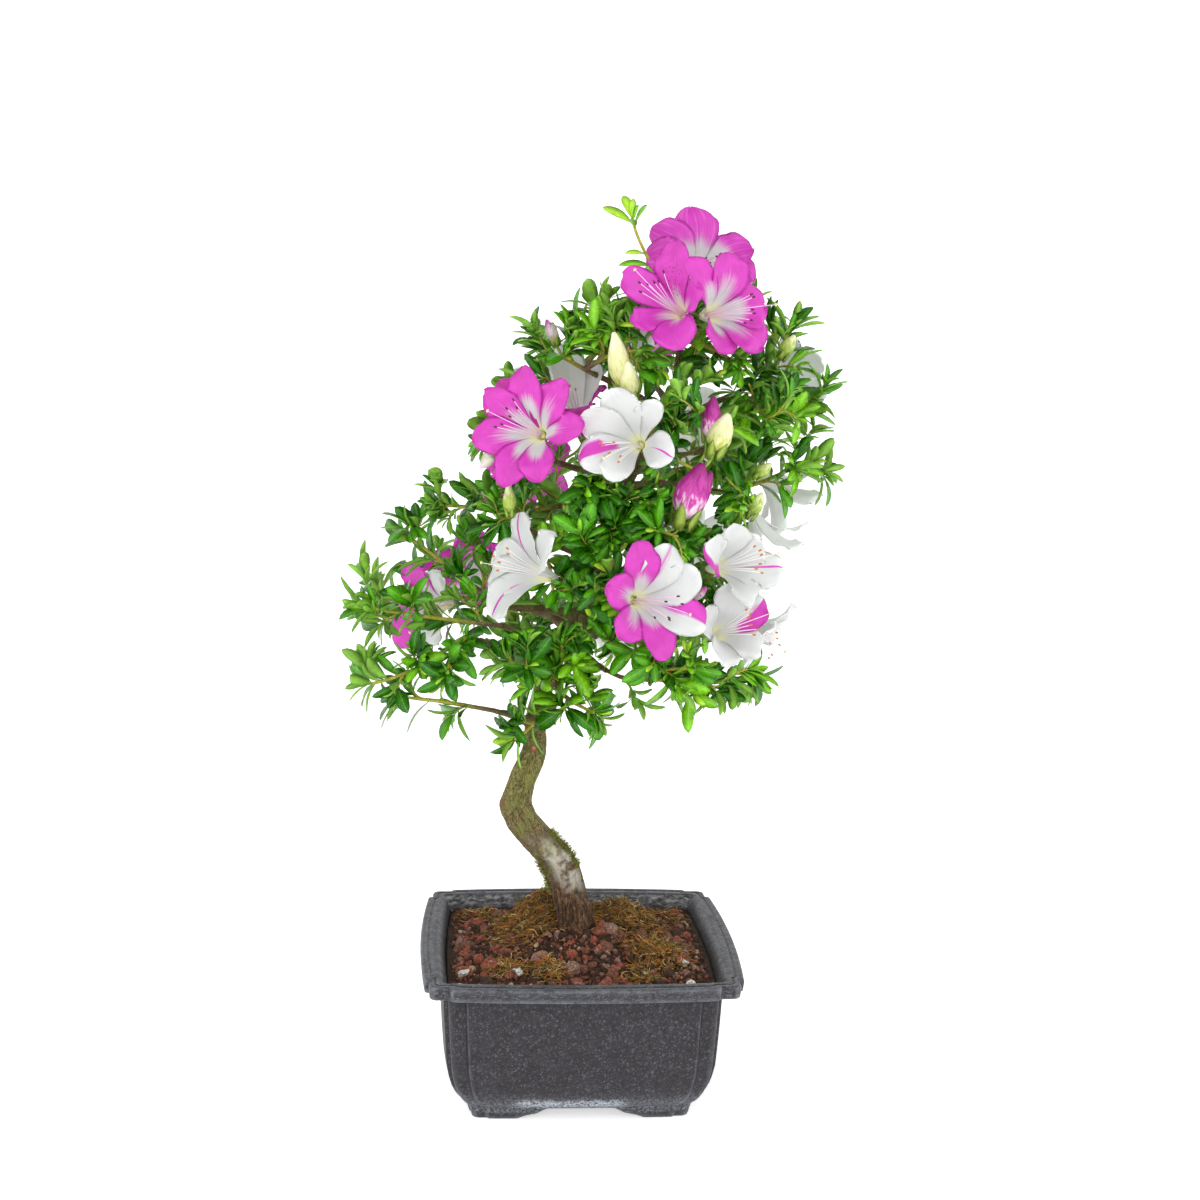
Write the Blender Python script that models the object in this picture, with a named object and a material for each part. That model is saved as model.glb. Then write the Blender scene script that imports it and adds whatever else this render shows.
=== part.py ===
"""An azalea grown as a small bonsai in its square training pot, in bloom.

Sizes below are millimetres until a mesh is written, which is in metres. +Z is up, the origin is on
the floor under the pot's centre and the tree's front looks to -Y.
"""

import math

import bmesh
import bpy
import numpy as np

MM = 0.001
CLEAR = 0.3
GOLDEN = math.pi * (3 - math.sqrt(5))
UP = np.array([0.0, 0.0, 1.0])

# Pot: a square outline with bowed sides and a shallow step in at each corner.
# Each ring is height, half width, length of the corner block, bow of a side, depth of the step.
POT_OUTSIDE = (
    (0.0, 56.4, 9.0, 0.8, 1.2),
    (7.2, 58.4, 9.0, 1.0, 1.4),
    (8.6, 60.0, 9.5, 1.4, 1.8),
    (13.6, 63.8, 10.0, 1.8, 2.2),
    (28.0, 68.2, 11.0, 2.6, 2.5),
    (70.4, 70.6, 11.4, 2.8, 2.5),
    (70.9, 79.4, 13.0, 3.0, 2.5),
    (76.6, 80.0, 13.0, 3.0, 2.5),
    (77.6, 79.0, 13.0, 3.0, 2.4),
)
POT_INSIDE = (
    (77.6, 70.6, 8.0, 2.0, 0.1),
    (75.2, 69.0, 8.0, 2.0, 0.1),
    (66.0, 66.9, 8.0, 2.0, 0.1),
    (24.0, 64.4, 8.0, 1.8, 0.1),
    (13.0, 59.8, 7.0, 1.0, 0.1),
    (9.2, 55.0, 6.0, 0.6, 0.1),
)
BLOCK_ROUNDING = 3.6
BLOCK_LEAST_FLAT = 0.6
BLOCK_STEP_SLANT = 0.4
BLOCK_ARC_POINTS = 3
SIDE_STEPS = 3
FOOT_ARCH = ((-34.0, -4.0), (-32.4, 0.0), (-28.0, 1.7), (-22.3, 2.8), (-18.4, 5.0), (-16.8, 5.6))
ARCH_REACH = 90.0

# Soil: level near the wall, heaped towards the tree, with humps, and covered by stones and dry moss.
# A moss patch is x, y, reach and depth of cover.
SOIL_EDGE = 69.6
SOIL_RINGS = (0.965, 0.87, 0.76, 0.65, 0.54, 0.44, 0.35, 0.27)
MOUND_RISE = 14.6
MOUND_REACH = 41.0
SOIL_HUMPS = (
    (-18.0, 20.0, 6.0, 13.0),
    (28.0, 18.0, 5.0, 15.0),
    (44.0, -30.0, 3.2, 13.0),
    (-30.0, -16.0, 2.4, 12.0),
    (8.0, 42.0, 2.0, 12.0),
)
MOSS_PATCHES = (
    (-18.0, 18.0, 24.0, 1.0),
    (-34.0, 2.0, 16.0, 0.7),
    (28.0, 16.0, 22.0, 1.0),
    (46.0, -32.0, 17.0, 0.9),
    (30.0, -50.0, 13.0, 0.6),
    (-38.0, -38.0, 11.0, 0.6),
    (-14.0, -46.0, 9.0, 0.6),
    (2.0, 44.0, 22.0, 0.9),
    (-50.0, 44.0, 15.0, 0.6),
    (52.0, 40.0, 16.0, 0.7),
)
STONES_RISE = 2.0
MOSS_RISE = 1.7
SOIL_SIDE_STEPS = 9
LUMP_RISE = 1.4
LUMP_WAVES = (3.8, 3.9, 23.0)
SOIL_GAP = 0.42
SEAT_HEIGHT = 84.0
SEAT_RADIUS = 13.4

# Trunk: centre line and radius from the cut at the soil to the tip.
TRUNK = (
    (-1.2, 0.0, 84.3, 10.9),
    (-1.8, 0.0, 88.5, 9.7),
    (-3.6, 0.0, 97.6, 9.3),
    (-7.1, -1.0, 110.0, 9.2),
    (-13.8, -3.0, 122.7, 8.8),
    (-24.1, -5.0, 135.2, 8.3),
    (-31.1, -6.0, 143.5, 8.2),
    (-33.4, -6.0, 151.6, 7.7),
    (-31.9, -6.0, 159.1, 7.3),
    (-29.4, -5.0, 166.9, 6.8),
    (-26.4, -4.0, 174.7, 6.6),
    (-24.9, -3.0, 182.0, 6.2),
    (-24.5, -2.0, 189.8, 5.7),
    (-23.0, 0.0, 200.0, 5.4),
    (-19.0, 3.0, 215.4, 5.1),
    (-11.8, 6.0, 230.9, 4.8),
    (-2.0, 9.0, 245.9, 4.6),
    (4.5, 10.0, 262.2, 4.5),
    (10.8, 9.0, 283.6, 4.3),
    (15.9, 7.0, 302.2, 4.1),
    (19.6, 5.0, 316.5, 3.9),
    (25.2, 3.0, 330.2, 3.5),
    (33.1, 2.0, 341.7, 3.2),
    (40.6, 2.0, 352.1, 2.8),
    (43.8, 2.0, 365.5, 2.5),
    (45.5, 2.0, 377.7, 2.1),
    (46.2, 2.0, 391.0, 1.7),
)
TRUNK_SIDES = 9
TRUNK_STEP = 11.0
ROOT_LOBES = 5
ROOT_LOBE_DEPTH = 0.14
ROOT_FLARE = 7.0
# An old knob on the outside of the bend: its middle, how far it reaches and how far it stands out.
KNOB = (-40.6, -6.5, 150.4, 6.0, 1.9)
KNOB_WAY = (-0.995, -0.0995, 0.0)
TRUNK_GAP = 0.45

# Boughs: path from the trunk's centre line to the tip, then the radius at each end.
BOUGH_SIDES = 5
BOUGH_STEP = 12.0
BOUGHS = {
    "low_left": (((-24.0, -3.0, 193.0), (-36.8, -10.0, 199.5), (-46.0, -14.0, 202.6)), 2.3, 1.5),
    "lower_left": (
        ((-18.0, 3.0, 218.0), (-30.0, -5.0, 227.0), (-43.7, -14.0, 235.3), (-54.0, -21.0, 240.4)),
        2.7, 1.5,
    ),
    "main_left": (
        ((-12.8, 5.6, 229.0), (-24.0, -2.0, 237.0), (-33.4, -8.0, 242.6), (-42.0, -12.5, 246.4)),
        3.0, 1.7,
    ),
    "upper_left": (
        ((-1.0, 9.2, 248.0), (-18.0, 9.0, 252.0), (-36.0, 6.0, 253.0), (-46.0, 6.0, 255.0)),
        2.7, 1.5,
    ),
    "back_left": (((-6.0, 7.8, 240.0), (-16.0, 20.0, 246.0), (-34.0, 33.0, 249.0)), 2.7, 1.5),
    "front_low": (((-23.4, -0.6, 197.0), (-17.5, -9.0, 200.0), (-15.0, -16.0, 206.0)), 2.1, 1.3),
    "low_right": (((-8.6, 7.0, 235.8), (2.0, -4.0, 229.0), (11.0, -16.0, 224.5)), 2.6, 1.5),
    "front_centre": (((-0.6, 9.2, 249.0), (3.0, -4.0, 243.0), (5.0, -17.0, 242.0)), 2.4, 1.4),
    "mid_left": (((8.0, 9.5, 274.0), (-5.0, 0.0, 283.0), (-19.0, -9.0, 289.0)), 2.6, 1.5),
    "centre": (((15.9, 7.0, 302.2), (19.0, -6.0, 305.0), (20.5, -16.0, 306.0)), 2.5, 1.5),
    "mid_right": (
        ((4.0, 10.0, 261.0), (22.0, 5.0, 266.0), (38.0, -3.0, 266.0), (50.0, -10.0, 267.0)),
        2.8, 1.6,
    ),
    "right": (((19.4, 5.0, 316.0), (38.0, 5.0, 319.0), (56.0, 1.0, 317.0), (69.0, -4.0, 316.0)), 2.7, 1.6),
    "upper_right": (
        ((33.1, 2.0, 341.7), (48.0, 3.0, 352.0), (62.0, 3.0, 360.0), (75.0, 2.0, 366.0)),
        2.5, 1.5,
    ),
    "upper_front": (((25.2, 3.0, 330.2), (24.0, -10.0, 337.0), (23.0, -22.0, 342.0)), 2.3, 1.4),
    "upper_left_front": (
        ((18.6, 5.4, 313.0), (5.0, -3.0, 323.0), (-8.0, -10.0, 328.0), (-17.0, -15.0, 331.0)),
        2.5, 1.5,
    ),
    "top_left": (
        ((40.6, 2.0, 352.1), (27.0, -2.0, 363.0), (11.0, -8.0, 371.0), (1.0, -10.0, 375.5)),
        2.2, 1.4,
    ),
    "back_low": (((-19.0, 3.0, 215.4), (-15.0, 18.0, 222.0), (-8.0, 34.0, 230.0)), 2.7, 1.6),
    "back_low_right": (((1.5, 9.6, 254.0), (20.0, 24.0, 256.0), (37.0, 36.0, 262.0)), 2.7, 1.6),
    "back_mid_left": (((10.8, 9.0, 283.6), (3.0, 24.0, 292.0), (-5.0, 38.0, 300.0)), 2.6, 1.5),
    "back_mid_right": (((23.4, 3.6, 326.0), (34.0, 19.0, 330.0), (49.0, 34.0, 332.0)), 2.4, 1.5),
    "back_upper_left": (((24.6, 3.2, 329.0), (8.0, 16.0, 340.0), (-8.0, 28.0, 348.0)), 2.3, 1.4),
    "back_top": (((42.2, 2.0, 358.0), (38.0, 16.0, 366.0), (32.0, 28.0, 374.0)), 2.0, 1.4),
}

# Masses: the first twig carries on from the tip of the bough of the same name, and the others start
# on it. Each twig is its points, how far its shoots reach and how many shoots it carries.
MASSES = {
    "low_left": (
        (((-56.6, -18.0, 205.3), (-74.4, -24.0, 209.5), (-97.0, -26.0, 212.3)), 9.0, 3),
    ),
    "lower_left": (
        (((-62.6, -26.0, 242.4), (-76.0, -34.0, 234.0), (-88.7, -38.0, 227.6), (-103.5, -40.0, 222.3),
          (-110.0, -40.0, 221.5)), 11.0, 6),
        (((-60.0, -24.6, 242.0), (-66.0, -40.0, 238.0), (-70.0, -52.0, 232.0)), 9.0, 2),
    ),
    "main_left": (
        (((-58.6, -18.0, 249.2), (-79.3, -22.0, 252.2), (-100.0, -24.0, 255.4),
          (-111.0, -24.0, 258.0)), 13.0, 7),
    ),
    "upper_left": (
        (((-50.8, 8.0, 259.0), (-52.5, 10.0, 270.5), (-55.3, 10.0, 283.0), (-55.5, 10.0, 290.0)), 9.0, 3),
        (((-50.8, 8.0, 259.0), (-70.7, 2.0, 275.0), (-83.0, 0.0, 284.5), (-92.0, 0.0, 291.0)), 9.0, 4),
    ),
    "back_left": (
        (((-53.5, 42.0, 251.3), (-75.0, 50.0, 252.1), (-92.0, 54.0, 247.0),
          (-104.0, 54.0, 242.3)), 15.0, 6),
    ),
    "front_low": (
        (((-13.1, -24.0, 215.7), (-10.8, -32.0, 230.2), (-13.3, -36.0, 241.0)), 11.0, 6),
        (((-15.0, -18.0, 208.0), (-27.7, -23.0, 196.0), (-36.0, -26.0, 190.0)), 7.0, 1),
        (((-13.4, -23.2, 214.0), (-3.8, -32.0, 209.5), (4.0, -36.0, 206.7)), 9.0, 3),
        (((-13.0, -24.0, 217.0), (-26.0, -34.0, 227.0), (-40.0, -38.0, 233.0)), 11.0, 5),
    ),
    "low_right": (
        (((22.5, -24.0, 221.7), (49.0, -34.0, 223.9), (70.0, -40.0, 227.4), (80.0, -42.0, 231.0)), 13.0, 9),
        (((26.0, -26.0, 222.0), (38.0, -42.0, 230.0), (52.0, -52.0, 233.0)), 11.0, 4),
    ),
    "front_centre": (
        (((8.0, -28.0, 250.0), (13.0, -37.0, 261.0), (20.0, -44.0, 265.0)), 15.0, 6),
        (((7.0, -25.0, 247.6), (20.0, -38.0, 245.0), (33.0, -47.0, 240.0)), 12.0, 5),
    ),
    "mid_left": (
        (((-30.0, -13.0, 297.0), (-42.0, -16.0, 303.7), (-60.4, -18.0, 307.8),
          (-76.0, -20.0, 308.6)), 10.0, 6),
        (((-26.0, -11.4, 294.4), (-20.0, -24.0, 280.0), (-18.0, -33.0, 268.0)), 15.0, 4),
    ),
    "centre": (
        (((24.0, -30.0, 304.0), (34.0, -42.0, 300.0), (42.0, -48.0, 298.0)), 15.0, 7),
        (((22.4, -24.0, 305.0), (8.0, -36.0, 299.0), (-4.0, -44.0, 296.0)), 15.0, 7),
        (((22.4, -24.0, 305.0), (14.0, -34.0, 316.0), (4.0, -40.0, 325.0)), 12.0, 5),
        (((24.0, -30.0, 304.0), (36.0, -26.0, 294.0), (44.0, -26.0, 284.0)), 12.0, 4),
    ),
    "mid_right": (
        (((60.0, -18.0, 270.0), (68.0, -22.0, 266.0), (78.0, -20.0, 262.0)), 15.0, 4),
        (((57.0, -15.0, 269.0), (48.0, -26.0, 276.0), (44.0, -34.0, 284.0)), 10.0, 2),
    ),
    "right": (
        (((86.0, -9.0, 321.0), (100.0, -9.0, 327.0), (114.0, -7.0, 332.0)), 12.0, 5),
        (((80.0, -7.0, 319.0), (76.0, -26.0, 318.0), (72.0, -38.0, 312.0)), 12.0, 4),
    ),
    "upper_right": (
        (((90.0, 2.0, 375.0), (98.0, 0.0, 386.0), (101.0, 0.0, 397.0)), 11.0, 4),
        (((84.0, 2.0, 371.0), (100.0, 3.0, 366.0), (115.0, 2.0, 362.0)), 12.0, 4),
        (((84.0, 2.0, 371.0), (85.0, -14.0, 360.0), (88.0, -26.0, 354.0)), 14.0, 6),
    ),
    "upper_front": (
        (((25.0, -30.0, 343.0), (40.0, -36.0, 352.0), (52.0, -40.0, 354.0),
          (66.0, -44.0, 352.0)), 15.0, 11),
        (((31.0, -32.4, 346.6), (40.0, -40.0, 336.0), (52.0, -46.0, 330.0)), 10.0, 3),
    ),
    "upper_left_front": (
        (((-24.0, -20.0, 335.0), (-36.0, -18.0, 340.0), (-44.0, -18.0, 343.0),
          (-50.0, -18.0, 344.0)), 9.0, 4),
        (((-22.0, -18.6, 334.4), (-30.0, -26.0, 326.0), (-40.0, -32.0, 322.0)), 10.0, 3),
    ),
    "top_left": (
        (((-8.0, -12.0, 380.0), (-14.0, -15.0, 383.0), (-21.0, -18.0, 384.0)), 12.0, 5),
        (((-3.0, -10.8, 377.6), (3.0, -15.0, 390.0), (9.0, -14.0, 402.0)), 12.0, 5),
        (((-3.0, -10.8, 377.6), (10.0, -26.0, 386.0), (24.0, -34.0, 388.0)), 14.0, 7),
    ),
    "apex": (
        (((45.0, -3.0, 402.0), (38.0, -10.0, 415.0), (28.2, -12.0, 431.4), (21.7, -14.0, 443.3),
          (18.5, -14.0, 452.0)), 5.0, 2),
        (((46.0, 0.6, 396.0), (58.0, 4.0, 406.0), (70.0, 8.0, 412.0)), 12.0, 4),
        (((46.0, 0.6, 396.0), (58.0, -12.0, 390.0), (70.0, -24.0, 384.0)), 13.0, 5),
        (((45.4, -1.4, 399.0), (32.0, 6.0, 404.0), (24.0, 12.0, 410.0)), 11.0, 3),
    ),
    "back_low": (
        (((-3.0, 48.0, 238.0), (4.0, 60.0, 243.0), (8.0, 68.0, 243.0)), 17.0, 5),
        (((-5.0, 43.0, 235.0), (-20.0, 52.0, 232.0), (-34.0, 62.0, 226.0)), 14.0, 4),
    ),
    "back_low_right": (
        (((52.0, 46.0, 266.0), (68.0, 55.0, 267.0), (82.0, 60.0, 263.0)), 16.0, 5),
        (((46.0, 42.0, 264.0), (56.0, 36.0, 250.0), (66.0, 32.0, 238.0)), 13.0, 3),
    ),
    "back_mid_left": (
        (((-10.0, 48.0, 305.0), (-16.0, 60.0, 309.0), (-20.0, 68.0, 308.0)), 17.0, 5),
        (((-8.0, 44.0, 303.0), (-24.0, 46.0, 300.0), (-38.0, 48.0, 296.0)), 14.0, 4),
    ),
    "back_mid_right": (
        (((60.0, 45.0, 332.0), (72.0, 55.0, 331.0), (82.0, 62.0, 326.0)), 16.0, 5),
        (((56.0, 41.0, 331.6), (48.0, 56.0, 326.0), (40.0, 66.0, 320.0)), 14.0, 4),
        (((60.0, 45.0, 332.0), (80.0, 40.0, 340.0), (96.0, 36.0, 343.0)), 13.0, 3),
    ),
    "back_upper_left": (
        (((-17.0, 36.0, 351.0), (-24.0, 44.0, 352.0), (-30.0, 54.0, 350.0)), 15.0, 5),
        (((-14.0, 32.0, 350.4), (-15.0, 24.0, 366.0), (-13.0, 20.0, 380.0)), 13.0, 3),
    ),
    "back_top": (
        (((28.0, 40.0, 381.0), (24.0, 50.0, 385.0), (20.0, 60.0, 385.0)), 15.0, 5),
        (((30.0, 34.0, 378.0), (46.0, 40.0, 388.0), (58.0, 44.0, 394.0)), 14.0, 4),
    ),
}
TRUNK_TIP_MASS = "apex"

# Flowers: mass, middle of the mouth, direction it faces, width across, petals.
FLOWERS = (
    ("apex", (55.0, -10.0, 438.0), (0.05, -0.80, 0.60), 60.0, 5),
    ("apex", (33.0, -46.0, 412.0), (-0.50, -0.80, 0.30), 56.0, 5),
    ("apex", (66.0, -44.0, 409.0), (0.50, -0.80, 0.15), 60.0, 5),
    ("upper_left_front", (-32.7, -52.0, 349.2), (-0.35, -0.92, 0.17), 60.0, 6),
    ("upper_front", (17.1, -60.0, 345.8), (-0.28, -0.94, 0.18), 54.0, 6),
    ("upper_left_front", (-9.0, -14.0, 366.0), (-0.25, -0.30, 0.90), 48.0, 5),
    ("mid_left", (-36.0, -44.0, 281.0), (-0.80, -0.50, 0.28), 54.0, 5),
    ("front_centre", (28.2, -66.0, 269.1), (0.35, -0.92, 0.15), 58.0, 5),
    ("mid_right", (74.9, -44.0, 284.0), (0.60, -0.75, 0.20), 52.0, 5),
    ("mid_right", (72.0, -46.0, 253.0), (0.40, -0.80, 0.35), 48.0, 5),
    ("mid_right", (94.0, -12.0, 240.0), (0.70, -0.30, -0.55), 48.0, 5),
    ("right", (106.0, 10.0, 312.0), (0.75, 0.20, -0.60), 48.0, 5),
    ("right", (94.0, -2.0, 289.0), (0.45, 0.15, -0.85), 44.0, 5),
    ("upper_right", (112.0, 22.0, 380.0), (0.72, 0.45, 0.42), 44.0, 5),
    ("back_left", (-84.0, 26.0, 250.0), (-0.66, -0.74, 0.05), 48.0, 5),
    ("back_low", (28.0, 70.0, 238.0), (0.45, 0.85, -0.10), 52.0, 5),
    ("back_left", (-62.0, 68.0, 264.0), (-0.35, 0.85, 0.38), 54.0, 5),
    ("back_low_right", (62.0, 72.0, 282.0), (0.20, 0.90, 0.30), 56.0, 5),
    ("back_mid_left", (-30.0, 72.0, 318.0), (-0.30, 0.88, 0.32), 58.0, 6),
    ("back_mid_right", (70.0, 70.0, 342.0), (0.40, 0.85, 0.30), 54.0, 5),
    ("back_upper_left", (-18.0, 66.0, 364.0), (-0.20, 0.85, 0.45), 54.0, 5),
    ("back_top", (32.0, 62.0, 400.0), (0.05, 0.75, 0.65), 56.0, 5),
)
FLOWER_DEPTH = 24.0
THROAT_DEPTH = 0.3
PETAL_SPINE = 0.38
# A petal's points: share of the flower's half width, share of its depth, share of a petal's angle.
THROAT = 0.56
TUBE_FOOT = (0.065, 0.0)
TUBE_MOUTH = (0.18, 0.46)
NOTCH = (0.43, 0.78)
PETAL_MIDDLE = (0.55, 0.88)
PETAL_WIDEST = (0.74, 0.98, 0.60)
PETAL_TIP = (1.0, 0.96)
PETAL_LENS = 0.55
PETAL_LENS_SHIFT = 0.55
PETAL_SHARES = (1.0, 0.92, 0.84, 0.76, 0.68, 0.6)
PETAL_LEAST = 0.52
CALYX_DEPTH = 0.8
TUBE_SPACE = 3.0
FLOWER_SPACE = 3.0
BELL_FOOT = 3.0
BELL_ABOVE = 7.0
BELL_SPREAD = 0.45
BELL_MARGIN = 1.5
PEDICEL_RADIUS = 0.9
STALK_SINK = 1.5
STALK_BEND = 6.0

# Buds: mass, foot, tip, radius.
BUDS = (
    ("top_left", (15.2, -37.0, 369.6), (10.0, -41.0, 390.0), 4.6),
    ("upper_front", (57.6, -40.0, 346.4), (55.5, -43.0, 366.0), 4.4),
    ("centre", (44.4, -42.0, 308.6), (49.6, -45.0, 329.0), 5.4),
    ("upper_left_front", (-40.0, -30.0, 306.0), (-41.2, -32.0, 321.0), 3.4),
    ("top_left", (-18.0, -12.0, 390.0), (-23.0, -11.0, 402.0), 3.2),
    ("upper_left_front", (-48.0, -22.0, 336.0), (-55.0, -24.0, 328.0), 3.6),
    ("mid_right", (52.0, -38.0, 266.0), (57.0, -48.0, 273.0), 2.8),
    ("right", (82.0, -20.0, 306.0), (87.0, -24.0, 318.0), 4.0),
    ("right", (84.0, -22.0, 326.0), (91.0, -25.0, 333.0), 3.4),
    ("upper_right", (97.0, -8.0, 386.0), (103.0, -10.0, 397.0), 3.8),
    ("back_upper_left", (-30.0, 58.0, 344.0), (-30.0, 70.0, 352.0), 4.2),
    ("back_low_right", (88.0, 62.0, 272.0), (100.0, 66.0, 280.0), 4.4),
    ("back_top", (52.0, 50.0, 398.0), (60.0, 56.0, 410.0), 4.0),
    ("back_low", (-34.0, 66.0, 236.0), (-40.0, 72.0, 248.0), 3.8),
)
BUD_SIDES = 5
BUD_RINGS = ((0.2, 0.75), (0.5, 1.0))

# Twigs and leaves. Leaves are a little larger than life and fewer.
TWIG_SIDES = 3
TWIG_STEP = 22.0
FINE_STEP = 2.0
TWIG_RADIUS = (1.2, 0.8)
SHOOT_RADIUS = (0.85, 0.6)
SHOOT_START = 0.12
SHOOT_END = 0.96
SHOOT_LEAN = 0.75
SHOOT_LIFT = 0.22
SHOOT_SPREAD = (0.8, 1.05)
SHOOT_TURN = 0.6
SHOOT_BEND = (0.35, 0.25)
LEAF_LENGTH = (18.0, 26.0)
LEAF_WIDTH = 0.44
LEAF_THICK = 0.9
LEAF_WIDEST = 0.56
LEAF_ROOT = 0.35
CROWN_MIDDLE = np.array([8.0, 8.0, 300.0])
AXIS_PULL = 0.5
SKY_PULL = 0.45
OUTWARD_PULL = 0.8
SHOOT_SHARE = 0.5
SHOOT_PIECES = 1
ROSETTE_LEAVES = 3
TIP_ROSETTE_LEAVES = 4
ROSETTE_ANGLE = math.radians(52)
SIDE_LEAF_ANGLE = math.radians(62)
SIDE_LEAF_STEP = 20.0
SIDE_LEAF_START = 0.25
SIDE_LEAF_END = 0.95
ROSETTE_STEP = 1.7
ROSETTE_TOP = 0.5
ROSETTE_OPEN = (0.75, 0.4)
RIB_FIRST = 0.12
RIB_SAMPLES = 8
RIB_BURIED = 2
LEAF_TURN = 0.5
LEAF_LIFT = 0.12
LEAF_SHRINK = 0.04
LEAF_TRIES = 16
LEAF_TO_LEAF = 2.3
LEAF_TO_WOOD = 1.7
FIRST_SEED = 200
OTHER_SEEDS = {
    "front_low": 2005,
    "mid_left": 1008,
    "centre": 1009,
    "upper_left_front": 2014,
    "top_left": 215,
    "back_low": 1017,
}
REACH_LOW = (-130.5, -84.0, 160.0)
REACH_HIGH = (132.5, 84.0, 466.0)
SPACE_MARGIN = 0.8
LIMB_MARGIN = 1.0

COLOURS = {
    "pot": ("charcoal polypropylene", (0.055, 0.055, 0.062), 0.55),
    "soil": ("lava grit and dry moss", (0.13, 0.06, 0.035), 0.95),
    "trunk": ("azalea bark", (0.17, 0.13, 0.09), 0.85),
    "bough": ("azalea twig bark", (0.19, 0.14, 0.08), 0.8),
    "foliage": ("azalea leaves and blossom", (0.10, 0.30, 0.04), 0.45),
}


def unit(v):
    return np.asarray(v, float) / np.linalg.norm(v)


def across(axis, hint=UP):
    """Two unit directions square to an axis, the second as near the hint as it can be."""
    axis = unit(axis)
    side = np.cross(axis, hint)
    if np.linalg.norm(side) < 0.05:
        side = np.cross(axis, (1.0, 0.0, 0.0))
    side = unit(side)
    return side, np.cross(side, axis)


def smooth_path(points, step):
    """A smooth curve through all the points and their radii, with a point about every step."""
    p = np.asarray(points, float)
    p = np.vstack([2 * p[0] - p[1], p, 2 * p[-1] - p[-2]])
    found = [p[1]]
    for a, b, c, d in zip(p[:-3], p[1:-2], p[2:-1], p[3:]):
        count = max(1, round(np.linalg.norm((c - b)[:3]) / step))
        for t in np.arange(1, count + 1) / count:
            square = 2 * a - 5 * b + 4 * c - d
            cube = 3 * b - a - 3 * c + d
            found.append(0.5 * (2 * b + (c - a) * t + square * t**2 + cube * t**3))
    return np.array(found)


def along(path, share):
    """The point and direction at this share of a path's length."""
    steps = np.linalg.norm(np.diff(path, axis=0), axis=1)
    ends = np.concatenate([[0.0], np.cumsum(steps)])
    at = share * ends[-1]
    i = min(int(np.searchsorted(ends, at, side="right")) - 1, len(steps) - 1)
    t = (at - ends[i]) / steps[i]
    return path[i] * (1 - t) + path[i + 1] * t, unit(path[i + 1] - path[i])


def length_of(path):
    """The length of a path along its straight pieces."""
    return float(np.linalg.norm(np.diff(path, axis=0), axis=1).sum())


def mesh_object(name, points, faces, collection, material=None):
    """A closed mesh with its faces turned outwards, from points in millimetres."""
    mesh = bpy.data.meshes.new(name)
    mesh.from_pydata([tuple(p) for p in np.asarray(points, float) * MM], [], faces)
    tool = bmesh.new()
    tool.from_mesh(mesh)
    bmesh.ops.recalc_face_normals(tool, faces=tool.faces)
    if tool.calc_volume(signed=True) < 0:
        bmesh.ops.reverse_faces(tool, faces=tool.faces)
    tool.to_mesh(mesh)
    tool.free()
    obj = bpy.data.objects.new(name, mesh)
    collection.objects.link(obj)
    if material:
        mesh.materials.append(material)
    return obj


def loft(rings):
    """Faces that join rings of equal length into a closed body, with a flat cap at each end."""
    count = len(rings[0])
    faces = [tuple(range(count))]
    for r in range(len(rings) - 1):
        a = r * count
        b = a + count
        faces += [(a + i, a + (i + 1) % count, b + (i + 1) % count, b + i) for i in range(count)]
    faces.append(tuple(range((len(rings) - 1) * count, len(rings) * count)))
    return np.concatenate(rings), faces


def tube(path, radii, sides, heading=None):
    """A round limb along a path: the ring at each point stands square to the path there, and the
    first one square to the heading if there is one."""
    path = np.asarray(path, float)
    tangents = np.gradient(path, axis=0)
    if heading is not None:
        tangents[0] = heading
    side = across(tangents[0])[0]
    rings = []
    for p, t, r in zip(path, tangents, radii):
        t = unit(t)
        side = unit(side - t * (side @ t))
        other = np.cross(t, side)
        angles = np.arange(sides) * 2 * math.pi / sides
        rings.append(p + r * (np.outer(np.cos(angles), side) + np.outer(np.sin(angles), other)))
    return loft(rings)


# ---- pot and soil ----


def outline(height, half, block, bow, step, inset=0.0, steps=SIDE_STEPS):
    """The pot's outline at one height: four bowed sides, each ending in a rounded corner block."""
    half = half - inset
    end = half - block
    t = np.linspace(-end, end, steps + 1)
    side = np.column_stack([t, -half - bow * (1 - (t / end) ** 2)])
    inner = half - step
    rounding = min(BLOCK_ROUNDING, block - step - BLOCK_LEAST_FLAT)
    arc = np.linspace(-math.pi / 2, 0, BLOCK_ARC_POINTS)
    corner = np.column_stack([np.cos(arc), np.sin(arc)]) * rounding + (inner - rounding, rounding - inner)
    first = np.array([[end + BLOCK_STEP_SLANT, -inner]])
    last = np.array([[inner, -end - BLOCK_STEP_SLANT]])
    quarter = np.concatenate([side, first, corner, last])
    found = []
    for k in range(4):
        c = round(math.cos(k * math.pi / 2))
        s = round(math.sin(k * math.pi / 2))
        found.append(quarter @ np.array([[c, s], [-s, c]]))
    flat = np.concatenate(found)
    return np.column_stack([flat, np.full(len(flat), height)])


def arch_cutter(turned, collection):
    """A bar whose section is the opening between two feet, long enough to pass under the whole pot."""
    left = list(FOOT_ARCH)
    section = left + [(-x, z) for x, z in reversed(left)]
    rings = []
    for y in (-ARCH_REACH, ARCH_REACH):
        rings.append(np.array([(y, x, z) if turned else (x, y, z) for x, z in section]))
    cutter = mesh_object("foot_arch_cutter", *loft(rings), collection)
    cutter.hide_render = True
    cutter.display_type = "WIRE"
    return cutter


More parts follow.
